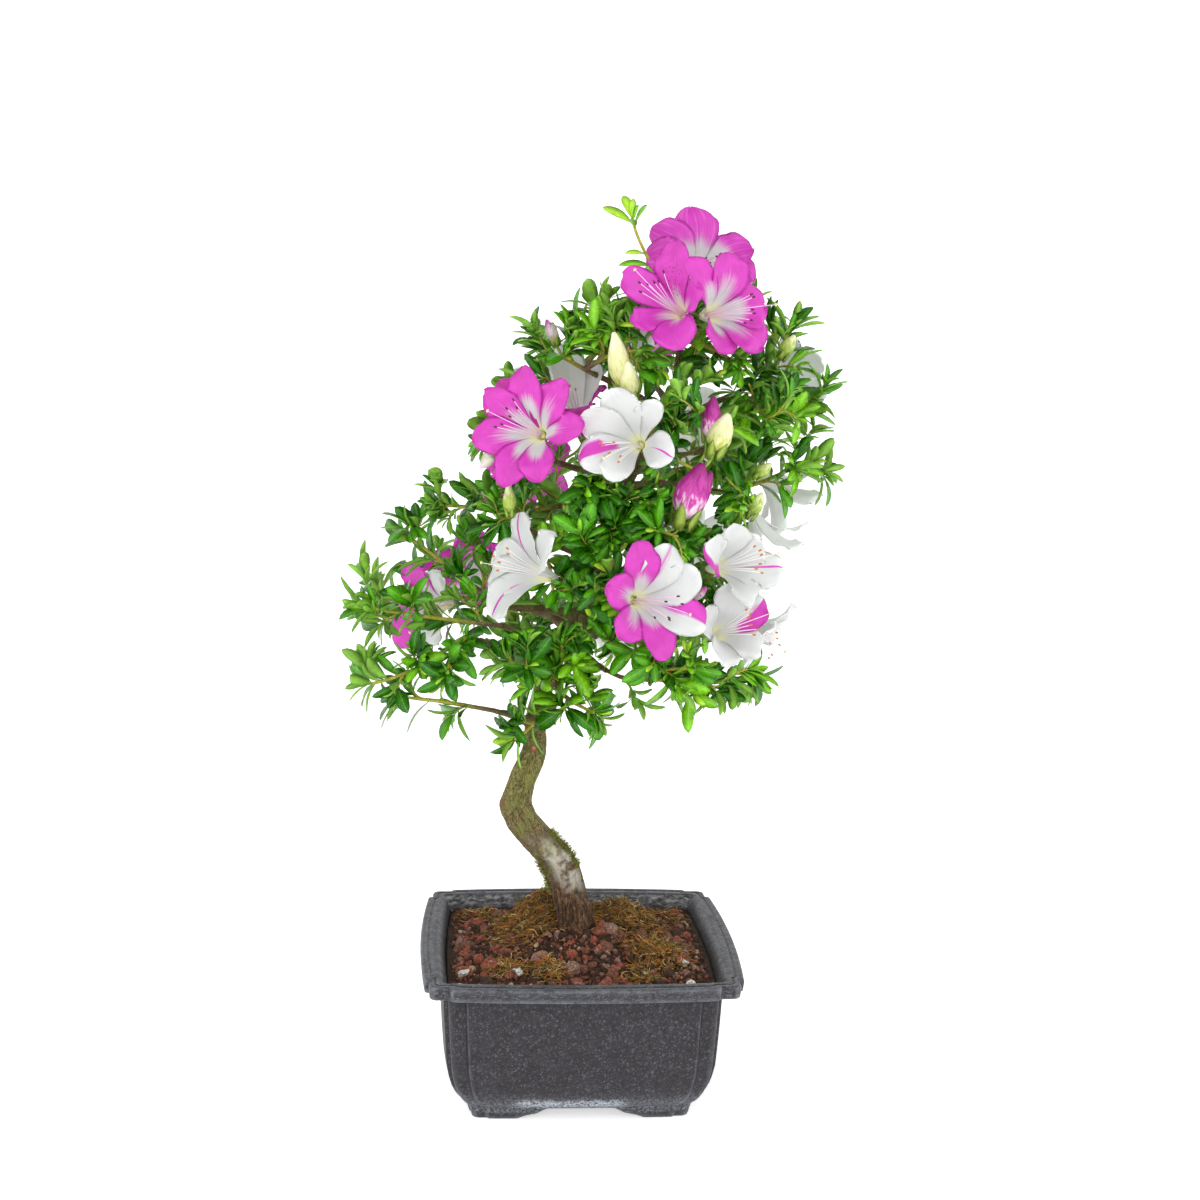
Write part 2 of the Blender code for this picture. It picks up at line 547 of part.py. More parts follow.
def make_pot(collection, helpers, material):
    """The pot as one wall that runs up the outside and down the inside, with an arch between its feet."""
    rings = [outline(*ring) for ring in POT_OUTSIDE + POT_INSIDE]
    pot = mesh_object("pot", *loft(rings), collection, material)
    for turned in (False, True):
        modifier = pot.modifiers.new("foot arch", "BOOLEAN")
        modifier.operation = "DIFFERENCE"
        modifier.solver = "EXACT"
        modifier.object = arch_cutter(turned, helpers)
    return pot


def inside_at(height):
    """The half width and the other outline sizes of the pot's inside at one height."""
    rings = np.array(POT_INSIDE)[::-1]
    return [float(np.interp(height, rings[:, 0], rings[:, k])) for k in range(1, 5)]


def lumps(x, y):
    """Lumps about 24 mm apart: the product of two waves that cross."""
    first, second, skew = LUMP_WAVES
    return LUMP_RISE * np.sin(x / first + 1) * np.sin(y / second + x / skew)


def soil_height(x, y):
    """Height of the covered soil: a heap round the tree, with humps, stones and patches of moss."""
    high = SOIL_EDGE + STONES_RISE + MOUND_RISE * np.exp(-((x**2 + y**2) / MOUND_REACH**2))
    for hx, hy, rise, reach in SOIL_HUMPS:
        high = high + rise * np.exp(-(((x - hx) ** 2 + (y - hy) ** 2) / reach**2))
    moss = np.zeros(len(x))
    for mx, my, reach, deep in MOSS_PATCHES:
        near = np.exp(-((((x - mx) ** 2 + (y - my) ** 2) / reach**2) ** 1.5))
        moss = np.maximum(moss, deep * near)
    return high + MOSS_RISE * moss + lumps(x, y)


def make_soil(collection, material):
    """The soil as one block that fills the pot to just clear of its wall, with a seat for the trunk."""
    floor = POT_INSIDE[-1][0] + CLEAR
    heights = [floor, *[ring[0] for ring in reversed(POT_INSIDE) if floor < ring[0] < SOIL_EDGE], SOIL_EDGE]
    rings = [outline(z, *inside_at(z), inset=SOIL_GAP, steps=SOIL_SIDE_STEPS) for z in heights]
    edge = rings[-1]
    for share in SOIL_RINGS:
        ring = edge.copy()
        ring[:, :2] *= share
        ring[:, 2] = soil_height(ring[:, 0], ring[:, 1])
        rings.append(ring)
    bearing = np.arctan2(edge[:, 1], edge[:, 0])
    seat = np.column_stack([np.cos(bearing), np.sin(bearing)]) * SEAT_RADIUS
    rings.append(np.column_stack([seat + (TRUNK[0][0], TRUNK[0][1]), np.full(len(edge), SEAT_HEIGHT)]))
    return mesh_object("soil", *loft(rings), collection, material)


# ---- trunk and boughs ----


def trunk_rings(extra=0.0):
    """Rings up the trunk. The foot spreads in lobes, and a knob swells the outside of the bend."""
    path = smooth_path(TRUNK, TRUNK_STEP)
    rings = []
    knob = np.array(KNOB[:3])
    tangents = np.gradient(path[:, :3], axis=0)
    tangents[0] = UP
    side = np.array([1.0, 0.0, 0.0])
    for (x, y, z, r), t in zip(path, tangents):
        t = unit(t)
        side = unit(side - t * (side @ t))
        other = np.cross(t, side)
        angles = np.arange(TRUNK_SIDES) * 2 * math.pi / TRUNK_SIDES
        foot = math.exp(-((z - TRUNK[0][2]) / ROOT_FLARE))
        reach = r * (1 + ROOT_LOBE_DEPTH * foot * np.cos(ROOT_LOBES * angles)) + extra
        ring = np.outer(np.cos(angles) * reach, side) + np.outer(np.sin(angles) * reach, other) + (x, y, z)
        near = np.exp(-(np.linalg.norm(ring - knob, axis=1) / KNOB[3]) ** 2)
        ring += unit(KNOB_WAY) * (KNOB[4] * near)[:, None]
        rings.append(ring)
    return rings


def bough_path(name):
    points, first, last = BOUGHS[name]
    path = smooth_path(points, BOUGH_STEP)
    return path, np.linspace(first, last, len(path))


def make_limbs(collection, helpers, materials):
    """The trunk, and the boughs cut back until they stand clear of it."""
    mesh_object("trunk", *loft(trunk_rings()), collection, materials["trunk"])
    clearance = mesh_object("trunk_clearance_cutter", *loft(trunk_rings(TRUNK_GAP)), helpers)
    clearance.hide_render = True
    clearance.display_type = "WIRE"
    for name in BOUGHS:
        path, radii = bough_path(name)
        limb = tube(path, radii, BOUGH_SIDES)
        bough = mesh_object("bough_" + name, *limb, collection, materials["bough"])
        modifier = bough.modifiers.new("trunk clearance", "BOOLEAN")
        modifier.operation = "DIFFERENCE"
        modifier.solver = "EXACT"
        modifier.object = clearance


# ---- where each mass may grow ----


def flower_bones(centre, facing, width, petals):
    """A flower's foot, the middle of its throat and a point near each petal's tip."""
    axis = unit(facing)
    side, other = across(axis)
    turns = math.pi / 2 + np.arange(petals) * 2 * math.pi / petals
    spokes = np.outer(np.cos(turns), side) + np.outer(np.sin(turns), other)
    centre = np.array(centre)
    foot = centre - FLOWER_DEPTH * axis
    return foot, centre - THROAT_DEPTH * FLOWER_DEPTH * axis, centre + spokes * width * PETAL_SPINE


def limb_end(mass):
    """The tip of the bough that carries a mass, or of the trunk, and the way it points."""
    path = smooth_path(TRUNK, TRUNK_STEP)[:, :3] if mass == TRUNK_TIP_MASS else bough_path(mass)[0]
    return path[-1], unit(path[-1] - path[-2])


def twig_paths(mass):
    """The mass's twigs as smooth paths. The first leaves the limb's tip, and the others leave it."""
    found = []
    tip, heading = limb_end(mass)
    for k, (points, reach, shoots) in enumerate(MASSES[mass]):
        if k == 0:
            points = (tip + CLEAR * 1.2 * heading, *points)
        else:
            first = smooth_path(found[0][0], 1.0)
            nearest = first[np.argmin(np.linalg.norm(first - points[0], axis=1))]
            points = (nearest, *points[1:])
        found.append((smooth_path(points, TWIG_STEP), reach, shoots))
    return found


class Space:
    """Shares out the room between the masses: a point belongs to the mass whose twigs, flowers or
    buds are nearest, and it's kept off the trunk and the boughs."""

    def __init__(self):
        starts, ends, owners, grace = [], [], [], []

        def add(mass, a, b, weight):
            starts.append(a)
            ends.append(b)
            owners.append(mass)
            grace.append(weight)

        self.names = list(MASSES)
        for i, mass in enumerate(self.names):
            for path, _, _ in twig_paths(mass):
                for a, b in zip(path[:-1], path[1:]):
                    add(i, a, b, 0.0)
        for mass, centre, facing, width, petals in FLOWERS:
            foot, mouth, tips = flower_bones(centre, facing, width, petals)
            add(self.names.index(mass), foot, mouth, TUBE_SPACE)
            for tip in tips:
                add(self.names.index(mass), mouth, tip, FLOWER_SPACE)
        for mass, foot, tip, radius in BUDS:
            add(self.names.index(mass), np.array(foot), np.array(tip), radius)
        self.parts = np.array(starts), np.array(ends), np.array(grace)
        self.owners = np.array(owners)
        starts, ends, radii = [], [], []
        limbs = [smooth_path(TRUNK, TRUNK_STEP)]
        limbs += [np.column_stack(bough_path(name)) for name in BOUGHS]
        for limb in limbs:
            starts += list(limb[:-1, :3])
            ends += list(limb[1:, :3])
            radii += list(np.maximum(limb[:-1, 3], limb[1:, 3]))
        self.limbs = np.array(starts), np.array(ends), np.array(radii)

    @staticmethod
    def distances(points, parts):
        """Distance of each point from each straight piece, less that piece's own allowance."""
        a, b, allowance = parts
        line = b - a
        offset = points[:, None, :] - a[None]
        t = (offset * line).sum(2) / np.maximum((line * line).sum(1), 1e-9)
        nearest = a + np.clip(t, 0, 1)[..., None] * line
        return np.linalg.norm(points[:, None, :] - nearest, axis=2) - allowance

    def owned(self, mass, points):
        """True for each point that lies in the mass's own room with a margin to spare."""
        points = np.atleast_2d(points)
        inside = ((points > REACH_LOW) & (points < REACH_HIGH)).all(1)
        away = self.distances(points, self.parts)
        mine = self.owners == self.names.index(mass)
        return inside & (away[:, mine].min(1) + 2 * SPACE_MARGIN < away[:, ~mine].min(1))

    def off_limbs(self, points):
        return self.distances(np.atleast_2d(points), self.limbs).min(1) > LIMB_MARGIN

    def allows(self, mass, points):
        return bool(self.owned(mass, points).all() and self.off_limbs(points).all())


def in_a_bell(points):
    """True if any of the points lies in a flower's bell or just in front of it."""
    for _, centre, facing, width, _ in FLOWERS:
        axis = unit(facing)
        offset = points - (np.array(centre) - FLOWER_DEPTH * axis)
        high = offset @ axis
        out = np.linalg.norm(offset - high[:, None] * axis, axis=1)
        bell = BELL_MARGIN + np.clip(high, 0, FLOWER_DEPTH) / FLOWER_DEPTH * width * BELL_SPREAD
        if ((high > BELL_FOOT) & (high < FLOWER_DEPTH + BELL_ABOVE) & (out < bell)).any():
            return True
    return False


# ---- leaves, flowers, buds ----


def leaf_points(root, direction, facing, length):
    """Foot, left side, tip and right side of a leaf: a lozenge with a rib raised along its top."""
    direction = unit(direction)
    face = facing - direction * (facing @ direction)
    face = unit(face) if np.linalg.norm(face) > 0.1 else across(direction)[1]
    half = np.cross(direction, face) * length * LEAF_WIDTH / 2
    foot = root - direction * LEAF_ROOT
    middle = foot + direction * length * LEAF_WIDEST - face * LEAF_THICK
    return np.array([foot, middle + half, foot + direction * length, middle - half])


LEAF_FACES = [(0, 1, 2), (2, 3, 0), (1, 0, 3), (2, 1, 3)]


def leaf_samples(leaf):
    """Points along a leaf's rib and round its edge."""
    foot, left, tip, right = leaf[:4]
    rib = foot + np.linspace(RIB_FIRST, 1.0, RIB_SAMPLES)[:, None] * (tip - foot)
    sides = [(foot + left) / 2, left, (left + tip) / 2, (foot + right) / 2, right, (right + tip) / 2]
    return np.concatenate([rib, sides])


def flower_mesh(centre, facing, width, petals, keep):
    """A funnel that opens into pointed petals. keep says which points are in the flower's own room,
    and a petal's edge is drawn in until it is."""
    axis = unit(facing)
    side, other = across(axis)
    foot = np.array(centre) - FLOWER_DEPTH * axis
    half = width / 2

    def at(turn, out, high):
        spoke = side * math.cos(turn) + other * math.sin(turn)
        return foot + axis * high * FLOWER_DEPTH + spoke * out * half

    def drawn_in(turn, out, high):
        for share in PETAL_SHARES:
            point = at(turn, out * share, high)
            if keep(point):
                return point
        return at(turn, out * PETAL_LEAST, high)

    points = [at(0, 0, THROAT), foot - axis * CALYX_DEPTH]
    step = 2 * math.pi / petals
    for i in range(petals):
        turn = i * step + math.pi / 2
        spread = PETAL_WIDEST[2] * step / 2
        points += [
            at(turn - step / 2, *TUBE_FOOT),
            at(turn - step / 2, *TUBE_MOUTH),
            drawn_in(turn - step / 2, *NOTCH),
            drawn_in(turn - spread, *PETAL_WIDEST[:2]),
            drawn_in(turn, *PETAL_TIP),
            drawn_in(turn + spread, *PETAL_WIDEST[:2]),
        ]
        widest = (points[-1] + points[-3]) / 2
        middle = widest * PETAL_LENS_SHIFT + at(turn, *NOTCH) * (1 - PETAL_LENS_SHIFT)
        points += [middle + axis * PETAL_LENS, middle - axis * PETAL_LENS]
    faces = []
    for i in range(petals):
        a = 2 + i * 8
        b = 2 + (i + 1) % petals * 8
        base, mouth, notch, left, tip, right, front, back = range(a, a + 8)
        rim = (notch, left, tip, right, b + 2)
        for p, q in zip(rim[:-1], rim[1:]):
            faces += [(p, q, front), (q, p, back)]
        faces += [(0, notch, front), (0, front, b + 2)]
        faces += [(mouth, back, notch), (mouth, b + 1, back), (b + 1, b + 2, back)]
        faces += [(base, b + 1, mouth), (base, b, b + 1), (1, b, base)]
    return np.array(points), faces


def bud_mesh(foot, tip, radius):
    """A closed spindle with its widest ring half way up."""
    foot = np.array(foot)
    axis = np.array(tip) - foot
    side, other = across(axis)
    angles = np.arange(BUD_SIDES) * 2 * math.pi / BUD_SIDES
    spokes = np.outer(np.cos(angles), side) + np.outer(np.sin(angles), other)
    rings = [foot + axis * high + spokes * radius * wide for high, wide in BUD_RINGS]
    points = np.concatenate([[foot], *rings, [foot + axis]])
    n = BUD_SIDES
    faces = []
    for i in range(n):
        j = (i + 1) % n
        faces += [(0, 1 + j, 1 + i), (1 + i, 1 + j, 1 + n + j), (1 + i, 1 + n + j, 1 + n + i)]
        faces.append((1 + n + i, 1 + n + j, 1 + 2 * n))
    return points, faces


# ---- growth ----


def shoot_path(start, heading, tip):
    """A short shoot that leaves its twig at a slant and bends to its tip."""
    length = np.linalg.norm(tip - start)
    bend = start + heading * length * SHOOT_BEND[0] + (tip - start) * SHOOT_BEND[1]
    t = np.linspace(0, 1, SHOOT_PIECES + 1)[:, None]
    return (1 - t) ** 2 * start + 2 * t * (1 - t) * bend + t**2 * tip


class Growth:
    """One mass as it grows: its twigs with their radii, and its leaves.

    Shoots leave each twig round it by the golden angle and all reach the same distance. Each twig
    and shoot ends in a rosette, and leaves stand along the twigs. Whatever would leave the mass's
    room, touch a limb or run through what has already grown is left out."""

    def __init__(self, mass, space, rng):
        self.mass = mass
        self.space = space
        self.rng = rng
        self.twigs = []
        self.ends = []
        self.leaves = []
        self.blades = np.zeros((0, 3))
        self.paths = [path for path, _, _ in twig_paths(mass)]

    def add_shoots(self):
        heading = limb_end(self.mass)[1]
        for path, reach, shoots in twig_paths(self.mass):
            self.twigs.append((path, np.linspace(*TWIG_RADIUS, len(path)), heading))
            heading = None
            self.ends.append((path, TIP_ROSETTE_LEAVES))
            phase = self.rng.uniform(0, 2 * math.pi)
            shoots = max(1, round(shoots * SHOOT_SHARE))
            for i in range(shoots):
                share = SHOOT_START + (SHOOT_END - SHOOT_START) * (i + 0.5) / shoots
                start, heading = along(path, share)
                far = reach * self.rng.uniform(*SHOOT_SPREAD)
                self.try_shoot(start, heading, far, phase + i * GOLDEN)

    def try_shoot(self, start, heading, far, turn):
        side, other = across(heading)
        for attempt in range(LEAF_TRIES):
            bearing = turn + SHOOT_TURN * attempt * GOLDEN
            spoke = side * math.cos(bearing) + other * math.sin(bearing)
            tip = start + spoke * far + heading * far * SHOOT_LEAN + UP * far * SHOOT_LIFT
            shoot = shoot_path(start, heading, tip)
            inner = smooth_path(shoot, FINE_STEP)[2:]
            if self.space.allows(self.mass, inner) and not in_a_bell(inner):
                self.twigs.append((shoot, np.linspace(*SHOOT_RADIUS, len(shoot)), None))
                self.ends.append((shoot, ROSETTE_LEAVES))
                return

    def add_stalk(self, foot, axis):
        stalk = stalk_to(np.array(foot), axis, self.paths)
        self.twigs.append((stalk, [PEDICEL_RADIUS] * len(stalk), None))

    def add_leaves(self):
        """Rosettes first, then the leaves that stand along the twigs."""
        paths = [path for path, _, _ in self.twigs]
        starts = np.concatenate([path[:-1] for path in paths])
        ends = np.concatenate([path[1:] for path in paths])
        wood = starts, ends, np.zeros(len(starts))
        for path, count in self.ends:
            self.add_rosette(path, count, wood)
        for path in self.paths:
            count = int(length_of(path) * (1 - SIDE_LEAF_START) / SIDE_LEAF_STEP)
            phase = self.rng.uniform(0, 2 * math.pi)
            for i in range(count):
                share = SIDE_LEAF_START + (SIDE_LEAF_END - SIDE_LEAF_START) * (i + 0.5) / count
                root, heading = along(path, share)
                length = self.rng.uniform(*LEAF_LENGTH)
                self.try_leaf(root, heading, phase + i * GOLDEN, SIDE_LEAF_ANGLE, length, wood)

    def add_rosette(self, path, count, wood):
        phase = self.rng.uniform(0, 2 * math.pi)
        whole = length_of(path)
        for i in range(count):
            root, axis = along(path, 1 - (ROSETTE_TOP + ROSETTE_STEP * i) / whole)
            angle = ROSETTE_ANGLE * (ROSETTE_OPEN[0] + ROSETTE_OPEN[1] * i / count)
            length = self.rng.uniform(*LEAF_LENGTH)
            self.try_leaf(root, axis, phase + i * GOLDEN, angle, length, wood)

    def try_leaf(self, root, axis, turn, angle, length, wood):
        """Turns a leaf round its twig, a little shorter each time, until it fits."""
        side, other = across(axis)
        facing = axis * AXIS_PULL + UP * SKY_PULL + unit(root - CROWN_MIDDLE) * OUTWARD_PULL
        for attempt in range(LEAF_TRIES):
            bearing = turn + attempt * GOLDEN * LEAF_TURN
            spoke = side * math.cos(bearing) + other * math.sin(bearing)
            direction = unit(axis * math.cos(angle) + spoke * math.sin(angle) + UP * LEAF_LIFT)
            leaf = leaf_points(root, direction, facing, length * (1 - LEAF_SHRINK * attempt))
            if self.leaf_fits(leaf, wood):
                self.leaves.append(leaf)
                self.blades = np.concatenate([self.blades, leaf_samples(leaf)[RIB_BURIED:]])
                return

    def leaf_fits(self, leaf, wood):
        samples = leaf_samples(leaf)
        blade = samples[RIB_BURIED:]
        if not self.space.allows(self.mass, samples) or in_a_bell(samples):
            return False
        if (Space.distances(blade, wood).min(1) < LEAF_TO_WOOD).any():
            return False
        if not len(self.blades):
            return True
        apart = np.linalg.norm(blade[:, None] - self.blades[None], axis=2)
        return bool(apart.min() > LEAF_TO_LEAF)


def stalk_to(foot, axis, paths):
    """A stalk from the nearest point of the mass's twigs to the foot of a flower or a bud."""
    points = np.concatenate([smooth_path(path, FINE_STEP)[1:-1] for path in paths])
    start = points[np.argmin(np.linalg.norm(points - foot, axis=1))]
    inside = foot + unit(axis) * STALK_SINK
    bend = foot - unit(axis) * min(STALK_BEND, 0.4 * np.linalg.norm(foot - start))
    t = np.linspace(0, 1, 3)[:, None]
    return (1 - t) ** 2 * start + 2 * t * (1 - t) * bend + t**2 * inside


def fuse(name, pieces, collection, material):
    """Joins the pieces into one body with a Boolean, and keeps that body only."""
    helpers = bpy.data.collections.new(name + "_pieces")
    bpy.context.scene.collection.children.link(helpers)
    base = mesh_object(name, *pieces[0], collection, material)
    for i, piece in enumerate(pieces[1:]):
        mesh_object(f"{name}_piece_{i}", *piece, helpers)
    modifier = base.modifiers.new("join", "BOOLEAN")
    modifier.operation = "UNION"
    modifier.operand_type = "COLLECTION"
    modifier.collection = helpers
    modifier.solver = "MANIFOLD"
    joined = bpy.data.meshes.new_from_object(base.evaluated_get(bpy.context.evaluated_depsgraph_get()))
    base.modifiers.clear()
    tool = bmesh.new()
    tool.from_mesh(joined)
    bmesh.ops.triangulate(tool, faces=tool.faces)
    keep_largest(tool)
    tool.to_mesh(joined)
    tool.free()
    old = base.data
    base.data = joined
    joined.name = name
    joined.materials.clear()
    joined.materials.append(material)
    bpy.data.meshes.remove(old)
    for piece in list(helpers.objects):
        bpy.data.objects.remove(piece)
    bpy.data.collections.remove(helpers)
    return base


def keep_largest(tool):
    """Drops every loose scrap and every sealed hollow, so that one solid body is left."""
    left = set(tool.verts)
    bodies = []
    while left:
        todo = [left.pop()]
        body = set(todo)
        while todo:
            for edge in todo.pop().link_edges:
                for vert in edge.verts:
                    if vert in left:
                        left.discard(vert)
                        body.add(vert)
                        todo.append(vert)
        bodies.append(body)
    bodies.sort(key=len)
    for body in bodies[:-1]:
        bmesh.ops.delete(tool, geom=list(body), context="VERTS")


def mass_pieces(mass, space, rng):
    """Every closed piece of one mass: twigs first, then flowers, buds and leaves."""
    growth = Growth(mass, space, rng)
    growth.add_shoots()
    blossom = []
    for owner, centre, facing, width, petals in FLOWERS:
        if owner == mass:
            growth.add_stalk(flower_bones(centre, facing, width, petals)[0], facing)
            keep = lambda point: space.owned(mass, point).all()
            blossom.append(flower_mesh(centre, facing, width, petals, keep))
    for owner, foot, tip, radius in BUDS:
        if owner == mass:
            growth.add_stalk(foot, np.array(tip) - np.array(foot))
            blossom.append(bud_mesh(foot, tip, radius))
    growth.add_leaves()
    twigs = [tube(path, radii, TWIG_SIDES, heading) for path, radii, heading in growth.twigs]
    return twigs + blossom + [(leaf, LEAF_FACES) for leaf in growth.leaves]


def make_masses(collection, material):
    space = Space()
    for index, mass in enumerate(MASSES):
        rng = np.random.default_rng(OTHER_SEEDS.get(mass, FIRST_SEED + index))
        fuse("foliage_" + mass, mass_pieces(mass, space, rng), collection, material)


def make_materials():
    """One plain material for each kind of part."""
    found = {}
    for key, (name, colour, roughness) in COLOURS.items():
        material = bpy.data.materials.new(name)
        material.use_nodes = True
        shader = material.node_tree.nodes["Principled BSDF"]
        shader.inputs["Base Color"].default_value = (*colour, 1.0)
        shader.inputs["Roughness"].default_value = roughness
        found[key] = material
    return found


def main():
    for obj in list(bpy.data.objects):
        bpy.data.objects.remove(obj)
    scene = bpy.context.scene
    azalea = bpy.data.collections.new("azalea_bonsai")
    helpers = bpy.data.collections.new("cutters")
    for collection in (azalea, helpers):
        scene.collection.children.link(collection)
    materials = make_materials()
    make_pot(azalea, helpers, materials["pot"])
    make_soil(azalea, materials["soil"])
    make_limbs(azalea, helpers, materials)
    make_masses(azalea, materials["foliage"])
    for obj in azalea.objects:
        smooth = obj.name.startswith(("trunk", "bough"))
        obj.data.polygons.foreach_set("use_smooth", [smooth] * len(obj.data.polygons))


main()
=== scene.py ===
"""An azalea grown as a small bonsai in its square training pot, in full bloom.

Sizes are millimetres until a mesh is written, which is in metres. +Z is up, the origin is on the
floor under the pot's centre, and the tree's front looks to -Y. The trunk, boughs, twigs, flowers
and buds stand where the solid model has them, and the leaves and finer twigs grow on from there.
"""

import functools
import math

import bpy
import numpy as np
from bpy.types import Operator, Panel, PropertyGroup
from mathutils import Matrix


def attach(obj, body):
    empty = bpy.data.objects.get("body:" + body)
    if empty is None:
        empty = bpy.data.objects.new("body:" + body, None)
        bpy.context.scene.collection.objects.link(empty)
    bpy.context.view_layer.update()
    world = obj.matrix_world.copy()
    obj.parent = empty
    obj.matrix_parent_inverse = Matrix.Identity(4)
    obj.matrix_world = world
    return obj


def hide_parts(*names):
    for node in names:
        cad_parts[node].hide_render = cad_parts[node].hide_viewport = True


bl_info = {
    "name": "Azalea bonsai in bloom",
    "version": (1, 0, 0),
    "blender": (4, 5, 0),
    "location": "3D View > Sidebar > Azalea",
    "description": "Builds a potted azalea bonsai: pot, soil, bark, leaves and blossom",
    "category": "Add Mesh",
}

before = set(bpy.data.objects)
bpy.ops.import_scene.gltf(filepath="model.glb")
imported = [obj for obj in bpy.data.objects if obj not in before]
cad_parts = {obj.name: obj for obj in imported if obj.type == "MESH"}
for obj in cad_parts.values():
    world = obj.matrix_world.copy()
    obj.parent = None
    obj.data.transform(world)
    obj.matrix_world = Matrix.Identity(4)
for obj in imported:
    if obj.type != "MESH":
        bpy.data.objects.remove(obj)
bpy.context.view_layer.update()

MM = 0.001
CLEAR = 0.3
TURN = 2 * math.pi
GOLDEN = math.pi * (3 - math.sqrt(5))
UP = np.array([0, 0, 1])
norm, join = np.linalg.norm, np.concatenate

# Pot: rings up the outside, over the rim and down the inside. Each is height, half width, length of
# the corner block, bow of a side and depth of the step at the block.
POT_RINGS = (
    (0, 55.2, 9, 0.8, 1.2), (0.1, 56.1, 9, 0.8, 1.2), (0.5, 56.5, 9, 0.8, 1.2), (4, 57.5, 9, 0.9, 1.3),
    (6.8, 58.3, 9, 1, 1.4), (7.4, 58.7, 9.1, 1, 1.5), (8.2, 59.7, 9.4, 1.3, 1.7),
    (9.6, 61.2, 9.7, 1.5, 1.9), (11.6, 62.7, 9.9, 1.6, 2.1), (14.4, 64.3, 10.1, 1.8, 2.2),
    (18, 65.8, 10.4, 2.1, 2.3), (22.5, 67.1, 10.7, 2.4, 2.4), (28, 68.2, 11, 2.6, 2.5),
    (36, 68.8, 11.1, 2.7, 2.5), (46, 69.4, 11.2, 2.7, 2.5), (58, 70, 11.3, 2.8, 2.5),
    (68.6, 70.5, 11.4, 2.8, 2.5), (69.8, 70.8, 11.5, 2.8, 2.5), (70.3, 71.6, 11.7, 2.8, 2.5),
    (70.5, 73, 12, 2.9, 2.5), (70.6, 78.4, 12.9, 3, 2.5), (70.8, 79.2, 13, 3, 2.5),
    (71.4, 79.6, 13, 3, 2.5), (76.2, 80, 13, 3, 2.5), (77, 79.8, 13, 3, 2.5), (77.5, 79.3, 13, 3, 2.4),
    (77.6, 78.6, 12.9, 2.9, 2.2), (77.6, 77, 12.6, 2.8, 1.9), (77.4, 76.6, 12.5, 2.8, 1.8),
    (77, 76.4, 12.4, 2.8, 1.8), (77, 75.8, 12.2, 2.7, 1.7), (77.4, 75.5, 12, 2.7, 1.6),
    (77.6, 75, 11.6, 2.6, 1.4), (77.6, 72.6, 9.6, 2.3, 0.7), (77.4, 71.6, 8.8, 2.1, 0.4),
    (76.8, 70.7, 8.2, 2, 0.2), (75.6, 69.7, 8, 2, 0.1), (73, 68.6, 8, 2, 0.1), (66, 66.9, 8, 2, 0.1),
    (24, 64.4, 8, 1.8, 0.1), (13, 59.8, 7, 1, 0.1), (9.2, 55, 6, 0.6, 0.1),
)
POT_FLOOR_RINGS = (0.02, 0.25, 0.45, 0.6, 0.72, 0.82, 0.9, 0.96)
POT_RING_STEP = 3
BLOCK_ROUNDING = 3.6
BLOCK_LEAST_FLAT = 0.6
STEP_BEFORE, STEP_AFTER = 0.7, 0.9
SIDE_POINTS, STEP_POINTS, ARC_POINTS = 90, 7, 9
FOOT_TOP, FOOT_RINGS = 6.8, 20
FOOT_ARCH = ((16.8, 5.6), (18.4, 5), (22.3, 2.8), (28, 1.7), (32.4, 0))

# Soil: level near the wall, heaped towards the tree, with humps of dry moss: x, y, rise, reach.
SOIL_EDGE = 69.6
SOIL_SHARES = 64
MOUND_RISE, MOUND_REACH = 14.6, 41
SOIL_HUMPS = (
    (-18, 20, 6, 13), (28, 18, 5, 15), (44, -30, 3.2, 13), (-30, -16, 2.4, 12), (8, 42, 2, 12),
)
LUMP_RISE = 1.4
LUMP_WAVES = (3.8, 3.9, 23)
SOIL_GAP = 0.42

# Trunk: centre line and radius from the soil to the tip.
TRUNK = (
    (-1.2, 0, 84.3, 10.9), (-1.8, 0, 88.5, 9.7), (-3.6, 0, 97.6, 9.3), (-7.1, -1, 110, 9.2),
    (-13.8, -3, 122.7, 8.8), (-24.1, -5, 135.2, 8.3), (-31.1, -6, 143.5, 8.2), (-33.4, -6, 151.6, 7.7),
    (-31.9, -6, 159.1, 7.3), (-29.4, -5, 166.9, 6.8), (-26.4, -4, 174.7, 6.6), (-24.9, -3, 182, 6.2),
    (-24.5, -2, 189.8, 5.7), (-23, 0, 200, 5.4), (-19, 3, 215.4, 5.1), (-11.8, 6, 230.9, 4.8),
    (-2, 9, 245.9, 4.6), (4.5, 10, 262.2, 4.5), (10.8, 9, 283.6, 4.3), (15.9, 7, 302.2, 4.1),
    (19.6, 5, 316.5, 3.9), (25.2, 3, 330.2, 3.5), (33.1, 2, 341.7, 3.2), (40.6, 2, 352.1, 2.8),
    (43.8, 2, 365.5, 2.5), (45.5, 2, 377.7, 2.1), (46.2, 2, 391, 1.7),
)
ROOT_LOBES, ROOT_LOBE_DEPTH, ROOT_FLARE = 5, 0.14, 7
KNOB = (-40.6, -6.5, 150.4, 6, 1.9)
KNOB_WAY = (-0.995, -0.0995, 0)

